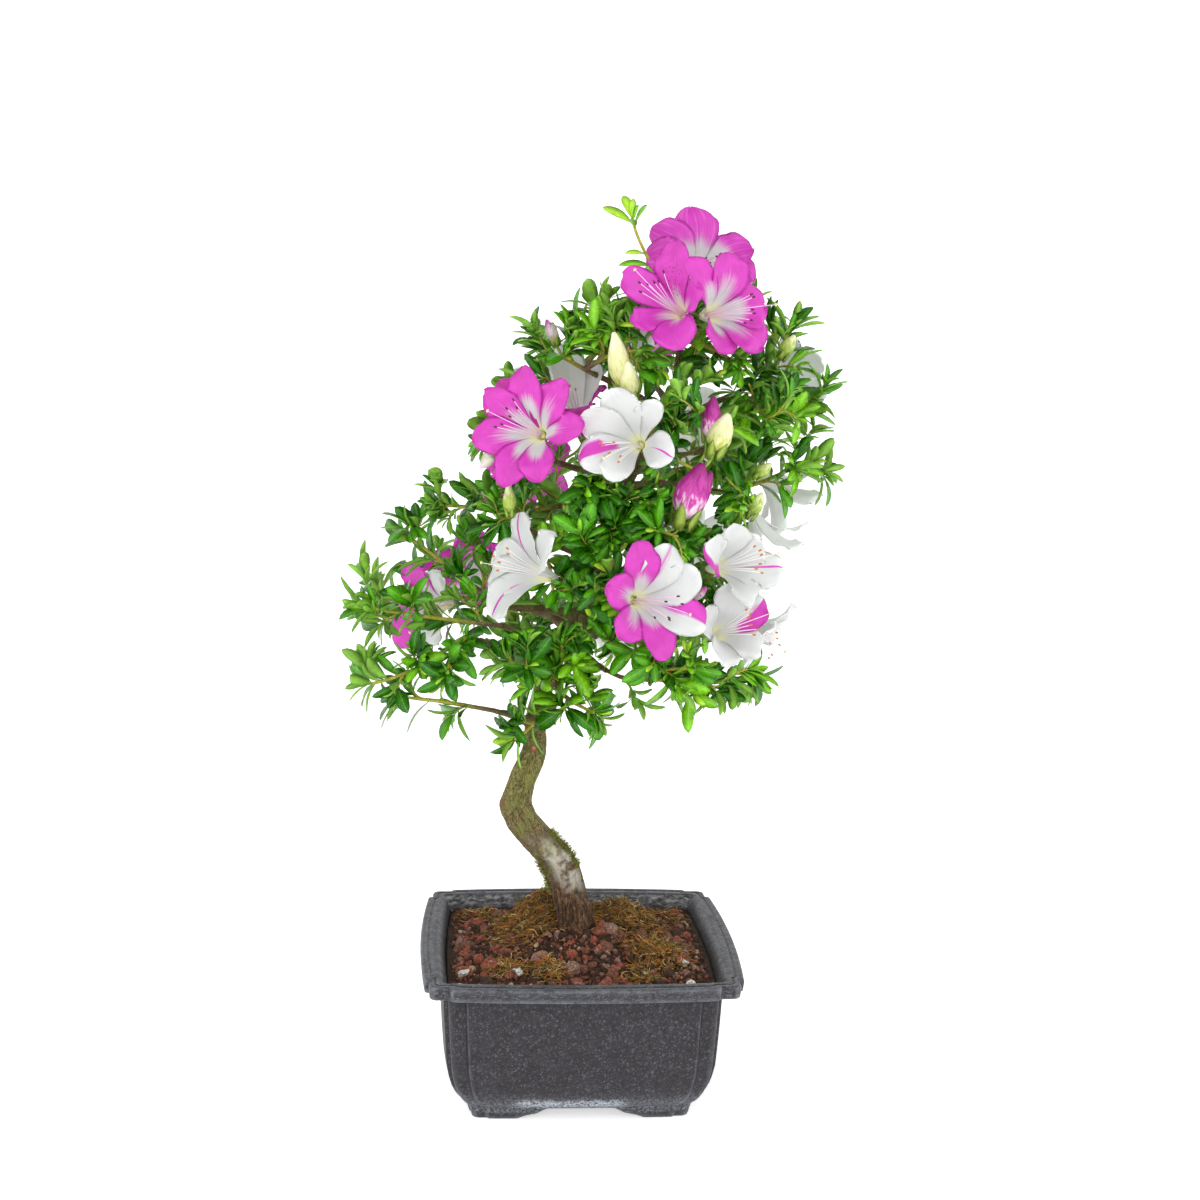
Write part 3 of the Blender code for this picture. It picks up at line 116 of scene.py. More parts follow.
# Boughs: radius at the trunk and at the tip, then the points of the path from the one to the other.
BOUGHS = {
    "low_left": (2.3, 1.5, -24, -3, 193, -36.8, -10, 199.5, -46, -14, 202.6),
    "lower_left": (2.7, 1.5, -18, 3, 218, -30, -5, 227, -43.7, -14, 235.3, -54, -21, 240.4),
    "main_left": (3, 1.7, -12.8, 5.6, 229, -24, -2, 237, -33.4, -8, 242.6, -42, -12.5, 246.4),
    "upper_left": (2.7, 1.5, -1, 9.2, 248, -18, 9, 252, -36, 6, 253, -46, 6, 255),
    "back_left": (2.7, 1.5, -6, 7.8, 240, -16, 20, 246, -34, 33, 249),
    "front_low": (2.1, 1.3, -23.4, -0.6, 197, -17.5, -9, 200, -15, -16, 206),
    "low_right": (2.6, 1.5, -8.6, 7, 235.8, 2, -4, 229, 11, -16, 224.5),
    "front_centre": (2.4, 1.4, -0.6, 9.2, 249, 3, -4, 243, 5, -17, 242),
    "mid_left": (2.6, 1.5, 8, 9.5, 274, -5, 0, 283, -19, -9, 289),
    "centre": (2.5, 1.5, 15.9, 7, 302.2, 19, -6, 305, 20.5, -16, 306),
    "mid_right": (2.8, 1.6, 4, 10, 261, 22, 5, 266, 38, -3, 266, 50, -10, 267),
    "right": (2.7, 1.6, 19.4, 5, 316, 38, 5, 319, 56, 1, 317, 69, -4, 316),
    "upper_right": (2.5, 1.5, 33.1, 2, 341.7, 48, 3, 352, 62, 3, 360, 75, 2, 366),
    "upper_front": (2.3, 1.4, 25.2, 3, 330.2, 24, -10, 337, 23, -22, 342),
    "upper_left_front": (2.5, 1.5, 18.6, 5.4, 313, 5, -3, 323, -8, -10, 328, -17, -15, 331),
    "top_left": (2.2, 1.4, 40.6, 2, 352.1, 27, -2, 363, 11, -8, 371, 1, -10, 375.5),
    "back_low": (2.7, 1.6, -19, 3, 215.4, -15, 18, 222, -8, 34, 230),
    "back_low_right": (2.7, 1.6, 1.5, 9.6, 254, 20, 24, 256, 37, 36, 262),
    "back_mid_left": (2.6, 1.5, 10.8, 9, 283.6, 3, 24, 292, -5, 38, 300),
    "back_mid_right": (2.4, 1.5, 23.4, 3.6, 326, 34, 19, 330, 49, 34, 332),
    "back_upper_left": (2.3, 1.4, 24.6, 3.2, 329, 8, 16, 340, -8, 28, 348),
    "back_top": (2, 1.4, 42.2, 2, 358, 38, 16, 366, 32, 28, 374),
}

# Masses: each twig is how far its shoots reach, how many it carries, and its points. The first twig
# carries on from the tip of the bough of the same name, and the others start on it.
MASSES = {
    "low_left": ((9, 3, -56.6, -18, 205.3, -74.4, -24, 209.5, -97, -26, 212.3),),
    "lower_left": (
        (11, 6, -62.6, -26, 242.4, -76, -34, 234, -88.7, -38, 227.6, -103.5, -40, 222.3, -110, -40, 221.5),
        (9, 2, -60, -24.6, 242, -66, -40, 238, -70, -52, 232),
    ),
    "main_left": ((13, 7, -58.6, -18, 249.2, -79.3, -22, 252.2, -100, -24, 255.4, -111, -24, 258),),
    "upper_left": (
        (9, 3, -50.8, 8, 259, -52.5, 10, 270.5, -55.3, 10, 283, -55.5, 10, 290),
        (9, 4, -50.8, 8, 259, -70.7, 2, 275, -83, 0, 284.5, -92, 0, 291),
    ),
    "back_left": ((15, 6, -53.5, 42, 251.3, -75, 50, 252.1, -92, 54, 247, -104, 54, 242.3),),
    "front_low": (
        (11, 6, -13.1, -24, 215.7, -10.8, -32, 230.2, -13.3, -36, 241),
        (7, 1, -15, -18, 208, -27.7, -23, 196, -36, -26, 190),
        (9, 3, -13.4, -23.2, 214, -3.8, -32, 209.5, 4, -36, 206.7),
        (11, 5, -13, -24, 217, -26, -34, 227, -40, -38, 233),
    ),
    "low_right": (
        (13, 9, 22.5, -24, 221.7, 49, -34, 223.9, 70, -40, 227.4, 80, -42, 231),
        (11, 4, 26, -26, 222, 38, -42, 230, 52, -52, 233),
    ),
    "front_centre": (
        (15, 6, 8, -28, 250, 13, -37, 261, 20, -44, 265),
        (12, 5, 7, -25, 247.6, 20, -38, 245, 33, -47, 240),
    ),
    "mid_left": (
        (10, 6, -30, -13, 297, -42, -16, 303.7, -60.4, -18, 307.8, -76, -20, 308.6),
        (15, 4, -26, -11.4, 294.4, -20, -24, 280, -18, -33, 268),
    ),
    "centre": (
        (15, 7, 24, -30, 304, 34, -42, 300, 42, -48, 298),
        (15, 7, 22.4, -24, 305, 8, -36, 299, -4, -44, 296),
        (12, 5, 22.4, -24, 305, 14, -34, 316, 4, -40, 325),
        (12, 4, 24, -30, 304, 36, -26, 294, 44, -26, 284),
    ),
    "mid_right": (
        (15, 4, 60, -18, 270, 68, -22, 266, 78, -20, 262),
        (10, 2, 57, -15, 269, 48, -26, 276, 44, -34, 284),
    ),
    "right": (
        (12, 5, 86, -9, 321, 100, -9, 327, 114, -7, 332),
        (12, 4, 80, -7, 319, 76, -26, 318, 72, -38, 312),
    ),
    "upper_right": (
        (11, 4, 90, 2, 375, 98, 0, 386, 101, 0, 397),
        (12, 4, 84, 2, 371, 100, 3, 366, 115, 2, 362),
        (14, 6, 84, 2, 371, 85, -14, 360, 88, -26, 354),
    ),
    "upper_front": (
        (15, 11, 25, -30, 343, 40, -36, 352, 52, -40, 354, 66, -44, 352),
        (10, 3, 31, -32.4, 346.6, 40, -40, 336, 52, -46, 330),
    ),
    "upper_left_front": (
        (9, 4, -24, -20, 335, -36, -18, 340, -44, -18, 343, -50, -18, 344),
        (10, 3, -22, -18.6, 334.4, -30, -26, 326, -40, -32, 322),
    ),
    "top_left": (
        (12, 5, -8, -12, 380, -14, -15, 383, -21, -18, 384),
        (12, 5, -3, -10.8, 377.6, 3, -15, 390, 9, -14, 402),
        (14, 7, -3, -10.8, 377.6, 10, -26, 386, 24, -34, 388),
    ),
    "apex": (
        (5, 2, 45, -3, 402, 38, -10, 415, 28.2, -12, 431.4, 21.7, -14, 443.3, 18.5, -14, 452),
        (12, 4, 46, 0.6, 396, 58, 4, 406, 70, 8, 412),
        (13, 5, 46, 0.6, 396, 58, -12, 390, 70, -24, 384),
        (11, 3, 45.4, -1.4, 399, 32, 6, 404, 24, 12, 410),
    ),
    "back_low": (
        (17, 5, -3, 48, 238, 4, 60, 243, 8, 68, 243),
        (14, 4, -5, 43, 235, -20, 52, 232, -34, 62, 226),
    ),
    "back_low_right": (
        (16, 5, 52, 46, 266, 68, 55, 267, 82, 60, 263),
        (13, 3, 46, 42, 264, 56, 36, 250, 66, 32, 238),
    ),
    "back_mid_left": (
        (17, 5, -10, 48, 305, -16, 60, 309, -20, 68, 308),
        (14, 4, -8, 44, 303, -24, 46, 300, -38, 48, 296),
    ),
    "back_mid_right": (
        (16, 5, 60, 45, 332, 72, 55, 331, 82, 62, 326),
        (14, 4, 56, 41, 331.6, 48, 56, 326, 40, 66, 320),
        (13, 3, 60, 45, 332, 80, 40, 340, 96, 36, 343),
    ),
    "back_upper_left": (
        (15, 5, -17, 36, 351, -24, 44, 352, -30, 54, 350),
        (13, 3, -14, 32, 350.4, -15, 24, 366, -13, 20, 380),
    ),
    "back_top": (
        (15, 5, 28, 40, 381, 24, 50, 385, 20, 60, 385),
        (14, 4, 30, 34, 378, 46, 40, 388, 58, 44, 394),
    ),
}
TRUNK_TIP_MASS = "apex"

# Limp petals: long, narrow and folded.
LIMP = " ".join(f"w,{turn},1.15,3,.55" for turn in (10, 80, 155, 225, 300))
# Flowers: mass, middle of the mouth, direction it faces, width across, the way the stamens lean, in
# degrees from upright, the anthers' colour and the petals. Petals that are spread evenly are a letter
# each for their colours. The others are each a letter, a turn in degrees (90 is upright), a length as
# a share of the half width, and any rise of its tip and share of its breadth.
FLOWERS = (
    ("apex", (55, -10, 438), (0.05, -0.8, 0.6), 60, 180, "dark",
     "t,88,.94 t,174,.9 t,-141,1.01 t,-12,.98 t,37,.99"),
    ("apex", (33, -46, 412), (-0.5, -0.8, 0.3), 56, 315, "dark",
     "f,90,1.14,0,.85 n,162,.72,3,.8 n,-112,.9 n,-40,.7,2,.6 n,33,1.12,0,.72"),
    ("apex", (66, -44, 409), (0.5, -0.8, 0.15), 60, 100, "dark",
     "m,97,.96 m,170,.8 m,-139,.92 m,-62,.8 m,44,1.16,0,.62"),
    ("upper_left_front", (-32.7, -52, 349.2), (-0.35, -0.92, 0.17), 60, 295, "dark",
     "s,76,1.05 s,125,1.02 s,170,.96 s,-109,.86 s,-66,1 s,-12,.99 s,34,.98 d,54,1.02,-5"),
    ("upper_front", (17.1, -60, 345.8), (-0.28, -0.94, 0.18), 54, 230, "tan",
     "w,67,1.05 w,113,.84,0,.75 l,-165,.8 w,-66,.86,0,.8 p,-27,1.02 w,24,1.05,0,.9"),
    ("upper_left_front", (-9, -14, 366), (-0.25, -0.3, 0.9), 48, 180, "tan",
     "w,51,1.28,18 w,112,.8,8 d,140,.7 w,-60,.7 d,-130,1.1"),
    ("mid_left", (-36, -44, 281), (-0.8, -0.5, 0.28), 54, 265, "tan",
     "l,64,1.12 w,10,.95 w,-24,1.01 l,-56,1.12 w,140,1.02"),
    ("front_centre", (28.2, -66, 269.1), (0.35, -0.92, 0.15), 58, 130, "dark",
     "m,77,1.02 k,113,1.04 w,162,1.04 h,-154,1.15 m,-108,1.03 m,-48,.86 m,20,.86"),
    ("mid_right", (74.9, -44, 284), (0.6, -0.75, 0.2), 52, 90, "tan",
     "w,86,.82 w,145,.8 l,-166,1.25 w,-96,.84 L,18,.98"),
    ("mid_right", (72, -46, 253), (0.4, -0.8, 0.35), 48, 90, "tan",
     "w,96,.95 R,152,1.08 w,-134,.85 w,-62,.88 w,18,.86"),
    ("mid_right", (94, -12, 240), (0.7, -0.3, -0.55), 48, 110, "tan", "wwwww"),
    ("right", (106, 10, 312), (0.75, 0.2, -0.6), 48, 180, "tan", LIMP),
    ("right", (94, -2, 289), (0.45, 0.15, -0.85), 44, 180, "tan", LIMP),
    ("upper_right", (112, 22, 380), (0.72, 0.45, 0.42), 44, 180, "tan", "wwlww"),
    ("back_left", (-84, 26, 250), (-0.66, -0.74, 0.05), 48, 180, "tan",
     "m,62,1.1 m,5,.98 m,-52,1.25 w,120,.9 w,-110,.9"),
    ("back_low", (28, 70, 238), (0.45, 0.85, -0.1), 52, 180, "tan", "wwlww"),
    ("back_left", (-62, 68, 264), (-0.35, 0.85, 0.38), 54, 180, "dark", "mmmmm"),
    ("back_low_right", (62, 72, 282), (0.2, 0.9, 0.3), 56, 180, "tan", "wRmwL"),
    ("back_mid_left", (-30, 72, 318), (-0.3, 0.88, 0.32), 58, 180, "dark", "ssssss"),
    ("back_mid_right", (70, 70, 342), (0.4, 0.85, 0.3), 54, 180, "tan", "wwwlw"),
    ("back_upper_left", (-18, 66, 364), (-0.2, 0.85, 0.45), 54, 180, "tan", "wlwwc"),
    ("back_top", (32, 62, 400), (0.05, 0.75, 0.65), 56, 180, "dark", "fmmmm"),
)
FLOWER_DEPTH = 24

# Buds: mass, foot, tip, radius and tint.
BUDS = (
    ("top_left", (14.6, -38, 369), (8.4, -42, 397), 5.6, "ivory"),
    ("top_left", (18, -41, 365), (15.4, -46, 383), 4.8, "ivory"),
    ("upper_front", (57, -41, 346.4), (58, -45, 367), 5.2, "deep"),
    ("upper_front", (59.4, -44, 340), (65, -48, 359), 6.4, "ivory"),
    ("centre", (45.2, -43, 306), (53, -47, 334.5), 8.8, "deep"),
    ("centre", (44.6, -42, 307), (58, -46, 330), 6.6, "deep"),
    ("upper_left_front", (-40, -30, 306), (-41.2, -32, 321), 3.4, "green"),
    ("top_left", (-18, -12, 390), (-23, -11, 402), 3.2, "rose"),
    ("upper_left_front", (-48, -22, 336), (-55, -24, 328), 3.6, "cream"),
    ("mid_right", (52, -38, 266), (57, -48, 273), 2.8, "rose"),
    ("right", (82, -20, 306), (87, -24, 318), 4, "green"),
    ("right", (84, -22, 326), (91, -25, 333), 3.4, "green"),
    ("upper_right", (97, -8, 386), (103, -10, 397), 3.8, "green"),
    ("back_upper_left", (-30, 58, 344), (-30, 70, 352), 4.2, "cream"),
    ("back_low_right", (88, 62, 272), (100, 66, 280), 4.4, "rose"),
    ("back_top", (52, 50, 398), (60, 56, 410), 4, "deep"),
    ("back_low", (-34, 66, 236), (-40, 72, 248), 3.8, "green"),
)

# Growth: shoots and leaves by the solid model's rule, and then a second order of shoots.
SHOOT_POINTS = 6
TWIG_RADIUS = (1.25, 0.75)
SHOOT_RADIUS = (0.7, 0.45)
SPRIG_RADIUS = (0.5, 0.35)
SHOOT_START, SHOOT_END = 0.06, 0.97
SHOOT_LEAN, SHOOT_LIFT = 0.75, 0.22
SHOOT_SPREAD = (0.75, 1.05)
SHOOT_TURN = 0.6
SHOOT_SHARE = 1.15
SHOOT_BEND = (0.35, 0.25)
SPRIG_REACH = (0.45, 0.75)
SPRIG_SHARE = 0.6
TRIES = 10
CROWN_MIDDLE = np.array([8, 8, 300])
AXIS_PULL, SKY_PULL, OUTWARD_PULL = 0.55, 0.5, 0.5
LEAF_LIFT = 0.14
OWN_MARGIN = 2.5
LIMB_MARGIN = 0.6
BELL_FOOT, BELL_ABOVE, BELL_SPREAD, BELL_MARGIN = 3, 18, 0.5, 1.5
BUD_CLEARANCE = 1
SLIM_ABOVE, SLIM_SHARE = 424, 0.5
FRONT_PULL = 0.9
OPEN_MASSES = ("low_left", "lower_left", "main_left", "upper_left", "back_left", "low_right")
OPEN_SHARE = 0.72
REACH_LOW = (-131.5, -86, 158)
REACH_HIGH = (133.5, 86, 468)


def linear(code):
    """The linear RGBA of an sRGB hex colour."""
    srgb = np.array([int(code[i : i + 2], 16) for i in (1, 3, 5)]) / 255
    rgb = np.where(srgb <= 0.04045, srgb / 12.92, ((srgb + 0.055) / 1.055) ** 2.4)
    return (*rgb.tolist(), 1)


def unit(v):
    """Each vector brought to length 1."""
    v = np.asarray(v, float)
    return v / np.maximum(norm(v, axis=-1, keepdims=True), 1e-12)


def across(axis, hint=UP):
    """Two unit directions square to each axis, the second as near the hint as it can be."""
    axis = unit(axis)
    side = np.cross(axis, hint)
    upright = norm(side, axis=-1, keepdims=True) < 0.05
    side = unit(np.where(upright, np.cross(axis, (1, 0, 0)), side))
    return side, np.cross(side, axis)


def round_turns(count):
    """Turns spread evenly over a whole circle."""
    return np.arange(count) * TURN / count


def wheel(turns, side, other):
    """The directions at these turns from one direction towards another, square to it."""
    turns = np.asarray(turns)[..., None]
    return side * np.cos(turns) + other * np.sin(turns)


def spokes(axis, turns):
    """The direction square to each axis at this turn round it."""
    return wheel(turns, *across(axis))


def bell(x, y, middle, reach, power=1):
    """1 at the middle and falling off round it: e to the minus (distance / reach) squared, where a
    power above 1 makes the top flatter and the edge steeper."""
    far = ((x - middle[0]) ** 2 + (y - middle[1]) ** 2) / reach**2
    return np.exp(-(far**power))


def ease(value, low, high):
    """0 below low, 1 above high, and an S-shaped curve between them."""
    t = np.clip((value - low) / (high - low), 0, 1)
    return t * t * (3 - 2 * t)


def smooth_path(points, step):
    """A smooth curve through all the points, with a point about every step."""
    p = np.asarray(points, float)
    p = np.vstack([2 * p[0] - p[1], p, 2 * p[-1] - p[-2]])
    found = [p[1:2]]
    for a, b, c, d in zip(p[:-3], p[1:-2], p[2:-1], p[3:]):
        count = max(1, round(norm((c - b)[:3]) / step))
        t = (np.arange(1, count + 1) / count)[:, None]
        square = 2 * a - 5 * b + 4 * c - d
        cube = 3 * b - a - 3 * c + d
        found.append(0.5 * (2 * b + (c - a) * t + square * t**2 + cube * t**3))
    return join(found)


def distances_along(path):
    return join([[0], np.cumsum(norm(np.diff(path[:, :3], axis=0), axis=1))])


def resample(path, shares):
    """The points at these shares of a path's length."""
    ends = distances_along(path)
    at = np.asarray(shares) * ends[-1]
    return np.stack([np.interp(at, ends, row) for row in path.T], axis=-1)


HEADING_REACH = 0.03


def headings(path, shares):
    """The directions at these shares of a path's length."""
    ahead, behind = np.minimum(shares + HEADING_REACH, 1), np.maximum(shares - HEADING_REACH, 0)
    return unit(resample(path, ahead) - resample(path, behind))


def length_of(path):
    return float(norm(np.diff(path, axis=0), axis=1).sum())


NOISE_CELLS = 32


@functools.cache
def noise_lattice(seed):
    return np.random.default_rng(seed).uniform(-1, 1, (NOISE_CELLS,) * 3)


def noise(points, seed, layers=1):
    """Smooth noise from about -1 to 1: random values on a repeating cubic lattice, blended between a
    cell's eight corners by an S-shaped curve. Each further layer is twice as fine, half as strong."""
    points = np.asarray(points, float)
    found = np.zeros(points.shape[:-1])
    strength = 1
    for layer in range(layers):
        lattice = noise_lattice(seed + layer)
        cell = np.floor(points).astype(np.int64)
        t = points - cell
        t = t * t * (3 - 2 * t)
        for corner in np.ndindex(2, 2, 2):
            weight = np.prod(np.where(corner, t, 1 - t), axis=-1)
            i = (cell + corner) % NOISE_CELLS
            found += strength * weight * lattice[i[..., 0], i[..., 1], i[..., 2]]
        points = points * 2.03 + 7.7
        strength *= 0.5
    return found


# ---- meshes ----


def grid_faces(rows, cols, wrap=False):
    """Four-sided faces between a grid's rows of points, closed on themselves if wrap is set."""
    index = np.arange(rows * cols).reshape(rows, cols)
    if wrap:
        index = join([index, index[:, :1]], axis=1)
    return np.stack([index[:-1, :-1], index[:-1, 1:], index[1:, 1:], index[1:, :-1]], -1).reshape(-1, 4)


def loft(rings):
    """Rings of equal length joined into a closed surface, with a pole in the middle of each end."""
    rows, cols = rings.shape[:2]
    points = join([rings.reshape(-1, 3), rings[:1].mean(1), rings[-1:].mean(1)])
    ring, none = np.arange(cols), np.full(cols, -1)
    after, top, pole = (ring + 1) % cols, (rows - 1) * cols, np.full(cols, rows * cols)
    first = np.stack([pole, after, ring, none], -1)
    last = np.stack([pole + 1, top + ring, top + after, none], -1)
    return points, join([grid_faces(rows, cols, wrap=True), first, last])


def blade_faces(rows, cols):
    """Faces of a thin closed sheet: a front grid and a back grid that share their border. The back's
    own points follow the front's. Returns the faces and which of them are the back's."""
    front = np.arange(rows * cols).reshape(rows, cols)
    back = front.copy()
    back[1:-1, 1:-1] = rows * cols + np.arange((rows - 2) * (cols - 2)).reshape(rows - 2, cols - 2)
    quads = grid_faces(rows, cols)
    under = back.reshape(-1)[quads][:, ::-1]
    return join([quads, under]), np.repeat([0, 1], len(quads))


def tubes(paths, radii, sides):
    """Closed round rods along paths that all have as many points. Each ring stands square to its path,
    and its first spoke is the last ring's, turned no more than it must be."""
    paths = np.asarray(paths, float).reshape(-1, *np.shape(paths)[-2:])
    count, steps = paths.shape[:2]
    radii = np.broadcast_to(radii, (count, steps))[..., None, None]
    tangents = unit(np.gradient(paths, axis=1))
    side, turns, rings = across(tangents[:, 0])[0], round_turns(sides), []
    for k in range(steps):
        t = tangents[:, k]
        side = unit(side - t * (side * t).sum(-1, keepdims=True))
        spoke = wheel(turns, side[:, None], np.cross(t, side)[:, None])
        rings.append(paths[:, k, None] + radii[:, k] * spoke)
    rings = np.stack(rings, 1)
    points = join([rings.reshape(count, -1, 3), paths[:, :1], paths[:, -1:]], axis=1)
    return points, loft(rings[0])[1]


def fill(items, key, values, kind=np.float32):
    """Writes an array to one property of a mesh's items."""
    items.foreach_set(key, values.astype(kind).ravel())


class Pile:
    """Gathers shapes of one kind, to be joined in one mesh."""

    def __init__(self):
        self.points, self.faces, self.slots, self.uv, self.values, self.count = [], [], [], [], {}, 0

    def add(self, points, faces, slots=0, uv=(0, 0), **values):
        """Adds copies of one shape: points are (copies, points, 3), and faces hold -1 for no corner."""
        points = np.asarray(points, float).reshape(-1, *points.shape[-2:])
        copies, each = points.shape[:2]
        starts = self.count + each * np.arange(copies)
        faces = np.where(faces[None] < 0, -1, faces[None] + starts[:, None, None])
        self.points.append(points.reshape(-1, 3))
        self.faces.append(faces.reshape(-1, 4))
        self.slots.append(np.broadcast_to(slots, faces.shape[:2]).reshape(-1))
        self.uv.append(np.broadcast_to(uv, (copies, each, 2)).reshape(-1, 2))
        for key, value in values.items():
            self.values.setdefault(key, []).append(np.broadcast_to(value, (copies, each)).reshape(-1))
        self.count += copies * each
        return self

    def add_limb(self, rings, crack):
        """Adds rings of bark and how deep each point lies in a crack. A pole takes its ring's mean."""
        crack = np.append(crack, [crack[0].mean(), crack[-1].mean()])
        return self.add(*loft(rings), uv=unroll(*rings.shape[:2]), crack=crack)

    def mesh(self, name, materials, smooth=True):
        """Writes the gathered shapes as one mesh, in metres."""
        faces, points = join(self.faces), join(self.points)
        used = faces >= 0
        corners, counts = faces[used], used.sum(1)
        mesh = bpy.data.meshes.new(name)
        mesh.vertices.add(len(points))
        mesh.loops.add(len(corners))
        mesh.polygons.add(len(faces))
        for material in materials:
            mesh.materials.append(material)
        fill(mesh.vertices, "co", points * MM)
        fill(mesh.loops, "vertex_index", corners, np.int32)
        fill(mesh.polygons, "loop_start", np.cumsum(counts) - counts, np.int32)
        fill(mesh.polygons, "material_index", join(self.slots), np.int32)
        fill(mesh.polygons, "use_smooth", np.full(len(faces), smooth), bool)
        mesh.update(calc_edges=True)
        fill(mesh.uv_layers.new(name="surface").data, "uv", join(self.uv)[corners])
        for key, value in self.values.items():
            fill(mesh.attributes.new(key, "FLOAT", "POINT").data, "value", join(value))
        return mesh

    def piece(self, name, materials, slot, replaced=(), smooth=True):
        """Makes the gathered shapes one object, which rides on the whole tree's only body."""
        obj = bpy.data.objects.new(name, self.mesh(name, materials, smooth))
        bpy.context.scene.collection.objects.link(obj)
        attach(obj, "root")
        if replaced:
            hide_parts(*replaced)


# ---- pot ----


def corner_quarter(half, block, bow, step):
    """A quarter of the pot's outline: a side bowed by a parabola, an S-shaped step in to the corner
    block, the block's flats with an arc between them, and the step out to the next side."""
    end, inner = half - block, half - step
    t = np.linspace(STEP_BEFORE - end, end - STEP_BEFORE, SIDE_POINTS)
    side = np.column_stack([t, -half - bow * (1 - (t / end) ** 2)])
    s = np.linspace(0, 1, STEP_POINTS + 2)[1:-1]
    over = side[-1, 1]
    out = end - STEP_BEFORE + s * (STEP_BEFORE + STEP_AFTER)
    down = np.column_stack([out, over + (-inner - over) * ease(s, 0, 1)])
    rounding = min(BLOCK_ROUNDING, block - step - BLOCK_LEAST_FLAT)
    arc = np.linspace(-math.pi / 2, 0, ARC_POINTS)
    corner = np.column_stack([np.cos(arc), np.sin(arc)]) * rounding + (inner - rounding, rounding - inner)
    flat = np.array([[end + STEP_AFTER, -inner]])
    up = np.column_stack([-down[::-1, 1], -down[::-1, 0]])
    return join([side, down, flat, corner, flat[:, ::-1] * -1, up])


def pot_outline(height, half, block, bow, step, inset=0):
    """The pot's outline at one height: the quarter turned to all four sides."""
    x, y = corner_quarter(half - inset, block, bow, step).T
    flat = join([np.stack(pair, 1) for pair in ((x, y), (-y, x), (-x, -y), (y, -x))])
    return np.column_stack([flat, np.full(len(flat), height)])


def arch_height(x, y):
    """Height of the underside: nought under the feet, and the arch's ogee between them on either axis."""
    reach, rise = np.array(FOOT_ARCH).T
    return np.maximum(np.interp(np.abs(x), reach, rise), np.interp(np.abs(y), reach, rise))


def pot_rings():
    """Rings from the middle of the underside, up the outside, over the rim and down to the inner floor."""
    rings = []
    sizes = np.array(POT_RINGS)
    for low, high in zip(sizes[:-1], sizes[1:]):
        count = max(1, round(norm((high - low)[:2]) / POT_RING_STEP))
        for t in np.arange(count) / count:
            rings.append(pot_outline(*(low + (high - low) * t)))
    rings.append(pot_outline(*POT_RINGS[-1]))
    under = [rings[0] * (share, share, 1) for share in POT_FLOOR_RINGS]
    inside = [rings[-1] * (share, share, 1) for share in reversed(POT_FLOOR_RINGS)]
    rings = np.stack(under + rings + inside)
    foot = np.arange(len(rings)) < len(under) + FOOT_RINGS
    low = foot[:, None] & (rings[..., 2] < FOOT_TOP)
    arch = arch_height(rings[..., 0], rings[..., 1])
    rings[..., 2] = np.where(low, arch + rings[..., 2] * (FOOT_TOP - arch) / FOOT_TOP, rings[..., 2])
    return rings


# ---- soil ----


def inside_at(height):
    """The half width and the other outline sizes of the pot's inside at one height."""
    rings = np.array(POT_RINGS[-5:])[::-1]
    return [float(np.interp(height, rings[:, 0], rings[:, k])) for k in range(1, 5)]


def soil_height(x, y):
    """Height of the soil: a heap round the tree, with humps of moss and lumps about 24 mm apart."""
    high = SOIL_EDGE + MOUND_RISE * bell(x, y, (0, 0), MOUND_REACH)
    for *middle, rise, reach in SOIL_HUMPS:
        high = high + rise * bell(x, y, middle, reach)
    wave, other, skew = LUMP_WAVES
    inside = 1 - ease(np.maximum(np.abs(x), np.abs(y)), 58, 68)
    return high + LUMP_RISE * np.sin(x / wave + 1) * np.sin(y / other + x / skew) * inside


def soil_rings():
    """Rings up the inside of the pot's wall and then inwards over the heap, roughened by noise."""
    floor = POT_RINGS[-1][0] + CLEAR
    heights = [floor, 13, 24, 45, 66, SOIL_EDGE]
    rings = [pot_outline(z, *inside_at(z), inset=SOIL_GAP) for z in heights]
    for share in np.linspace(1, 0.02, SOIL_SHARES)[1:]:
        ring = rings[5].copy()
        ring[:, :2] *= share
        grit = noise(ring / (2.6, 2.6, 1e9), 40, 3)
        ring[:, 2] = soil_height(ring[:, 0], ring[:, 1]) + grit * ease(1 - share, 0, 0.05)
        rings.append(ring)
    return np.stack([rings[0] * (0.02, 0.02, 1), *rings])


# ---- growth ----


@functools.cache
def trunk_path():
    return smooth_path(TRUNK, 4)


@functools.cache
def bough_path(name):
    """A bough's centre line with its radius as a fourth number."""
    first, last, *points = BOUGHS[name]
    path = smooth_path(np.reshape(points, (-1, 3)), 4)
    return np.column_stack([path, np.linspace(first, last, len(path))])


@functools.cache
def twig_paths(mass):
    """The mass's twigs as smooth paths. The first leaves its limb's tip, and the others leave it."""
    limb = trunk_path() if mass == TRUNK_TIP_MASS else bough_path(mass)
    tip, heading = limb[-1, :3], unit(limb[-1, :3] - limb[-2, :3])
    found = []
    for reach, shoots, *points in MASSES[mass]:
        points = np.array(points, float).reshape(-1, 3)
        if found:
            first = smooth_path(found[0][0], 1)
            points[0] = first[np.argmin(norm(first - points[0], axis=1))]
        else:
            points = np.vstack([tip - CLEAR * heading, points])
        found.append((smooth_path(points, 3), reach, shoots))
    return found


def flower_foot(centre, facing):
    return np.array(centre) - FLOWER_DEPTH * unit(facing)


def straight_pieces(paths):
    """Paths cut into straight pieces: the two ends of each, and its radius at the thicker end."""
    low = join([path[:-1] for path in paths])
    high = join([path[1:] for path in paths])
    return low[:, :3].copy(), high[:, :3].copy(), np.maximum(low[:, 3], high[:, 3])


